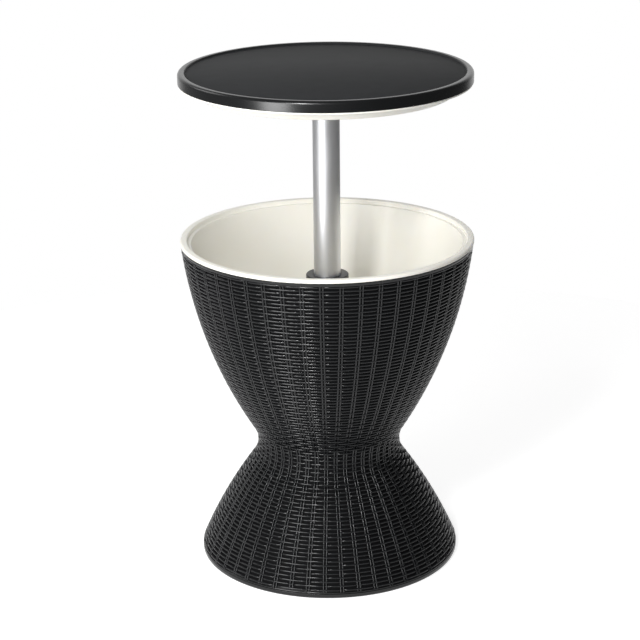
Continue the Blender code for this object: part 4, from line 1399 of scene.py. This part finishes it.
def make_screws(prefix, body, screw):
    """One set of screws in place of the nodes whose names start alike."""
    nodes = sorted(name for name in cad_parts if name.startswith(prefix))
    bottom, top = low(nodes[0]).z, high(nodes[0]).z
    head_height = screw[1]
    points = [(x, y, bottom + head_height) for x, y in centres(prefix)]
    sizes = dict(zip(screw_sizes, (*screw, top - bottom - head_height)))
    screws = grow(f"{prefix}s", points, screws_grow, {**sizes, "Material": steel_finish})
    screws.data.set_sharp_from_angle(angle=smooth_angle)
    dress(screws, steel_finish, "zinc_steel", body, *nodes)
    print(prefix, len(nodes), "screws,", len(screws.data.polygons), "faces")


make_screws("lid_screw", "top", small_screw)
make_screws("socket_screw", "top", small_screw)
make_screws("foot_screw", "top", foot_screw)
make_screws("hub_screw", "stand", hub_screw)
make_screws("waist_screw", "stand", small_screw)

# %% [markdown]
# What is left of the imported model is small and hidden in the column, under the lid and under the tub, and
# its shapes are right as they are. These nodes stay and only get their finish.

# %% Nodes that stay as packed
staying = {
    "pole_foot": grey_finish,
    "glide_ring": black_finish,
    "foot_washer": steel_finish,
    "foot_pin": steel_finish,
    "socket_pin": steel_finish,
    "drain_gasket": rubber_finish,
}
for node, finish in staying.items():
    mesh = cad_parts[node].data
    mesh.materials.clear()
    mesh.materials.append(finish)
print("kept from the frame:", ", ".join(staying))

# %% [markdown]
# The table stands on a plain white floor before a white backdrop, as in a catalogue. The camera, metal and
# gloss all see that white. The light that falls on the table is dimmer, and three soft lamps add to it: a
# tall, low one at the front left, which draws the long highlight on the rim and the pole, a small high one
# in front, which lights the crowns of the strands, and a weak one behind on the left.

# %% Floor and backdrop
floor_glow = 0.78


def seen_or_mirrored(tree):
    """One where the camera sees something straight, in metal or through glass, else nought."""
    path = add(tree, "ShaderNodeLightPath").outputs
    rays = {0: path["Is Glossy Ray"], 1: path["Is Transmission Ray"]}
    mirrored = add(tree, "ShaderNodeMath", rays, operation="MAXIMUM")
    return add(tree, "ShaderNodeMath", {0: path["Is Camera Ray"], 1: mirrored}, operation="MAXIMUM")


def white_floor_finish():
    """Matt white that is seen a little brighter than it is lit, and that keeps its shadow."""
    finish, tree, shader, place = new_finish("white_painted_floor", 0.9)
    _, shade = clouded(tree, place, 400 * mm, 2, "#c4c4c4", "#cacaca")
    glow = add(tree, "ShaderNodeMath", {0: seen_or_mirrored(tree), 1: floor_glow}, operation="MULTIPLY")
    feed(tree, shader, {"Base Color": shade, "Emission Color": (1, 1, 1, 1), "Emission Strength": glow})
    return finish


floor_radius = 1.5
disc = bmesh.new()
bmesh.ops.create_circle(disc, cap_ends=True, segments=128, radius=floor_radius)
floor = built_object("floor", disc)
floor.data.materials.append(white_floor_finish())
print(f"floor {2 * floor_radius:.1f} m across")

# %% [markdown]
# Gloss needs something to mirror, or black plastic turns to flat grey. So the room that reflections see has
# the white backdrop behind the table, and walls at the sides that are grey on the left and darker on the
# right. The light that falls on matt surfaces comes more from the horizon than from overhead, which
# brightens the inside of the tub under its lid.

# %% World and lamps
horizon = 0.5
zenith = 0.22
left_wall = 0.26
right_wall = 0.1
side_span = (-0.1, 0.6)
backdrop_span = (0.7, 0.95)
zenith_start = 0.8
world = bpy.data.worlds.new("white_room")
bpy.context.scene.world = world
world.use_nodes = True
sky = world.node_tree
toward = add(sky, "ShaderNodeSeparateXYZ", {0: add(sky, "ShaderNodeTexCoord").outputs["Generated"]}).outputs
walls = add(
    sky, "ShaderNodeMapRange",
    {0: toward["X"], 1: side_span[0], 2: side_span[1], 3: left_wall, 4: right_wall},
    interpolation_type="SMOOTHSTEP",
)
backdrop = add(
    sky, "ShaderNodeMapRange",
    {0: toward["Y"], 1: backdrop_span[0], 2: backdrop_span[1], 3: walls, 4: 1.0},
    interpolation_type="SMOOTHSTEP",
)
ambient = add(sky, "ShaderNodeMapRange", {0: toward["Z"], 1: 0.0, 2: zenith_start, 3: horizon, 4: zenith})
room = add(sky, "ShaderNodeMix", {0: seen_or_mirrored(sky), 2: ambient, 3: backdrop})
direct = add(sky, "ShaderNodeLightPath").outputs["Is Camera Ray"]
strength = add(sky, "ShaderNodeMix", {0: direct, 2: room, 3: 1.0})
feed(sky, sky.nodes["Background"], {"Color": (1, 1, 1, 1), "Strength": strength})


def soft_box(name, place, target, size, power):
    """Area lamp, as wide and as high as size tells, that faces a target."""
    data = bpy.data.lights.new(name, "AREA")
    data.shape = "RECTANGLE"
    data.size, data.size_y = size
    data.energy = power
    lamp = bpy.data.objects.new(name, data)
    bpy.context.scene.collection.objects.link(lamp)
    lamp.location = place
    lamp.rotation_euler = (Vector(target) - Vector(place)).to_track_quat("-Z", "Y").to_euler()


table_middle = (0, 0, 0.45)
soft_box("front_left_box", (-1.5, -2.0, 0.77), table_middle, (0.88, 1.5), 46)
soft_box("high_front_box", (-0.55, -1.7, 1.6), table_middle, (0.25, 0.5), 24)
soft_box("left_edge_box", (-2.0, 0.7, 2.0), table_middle, (1.0, 1.0), 8)
bpy.context.scene.view_settings.view_transform = "Standard"
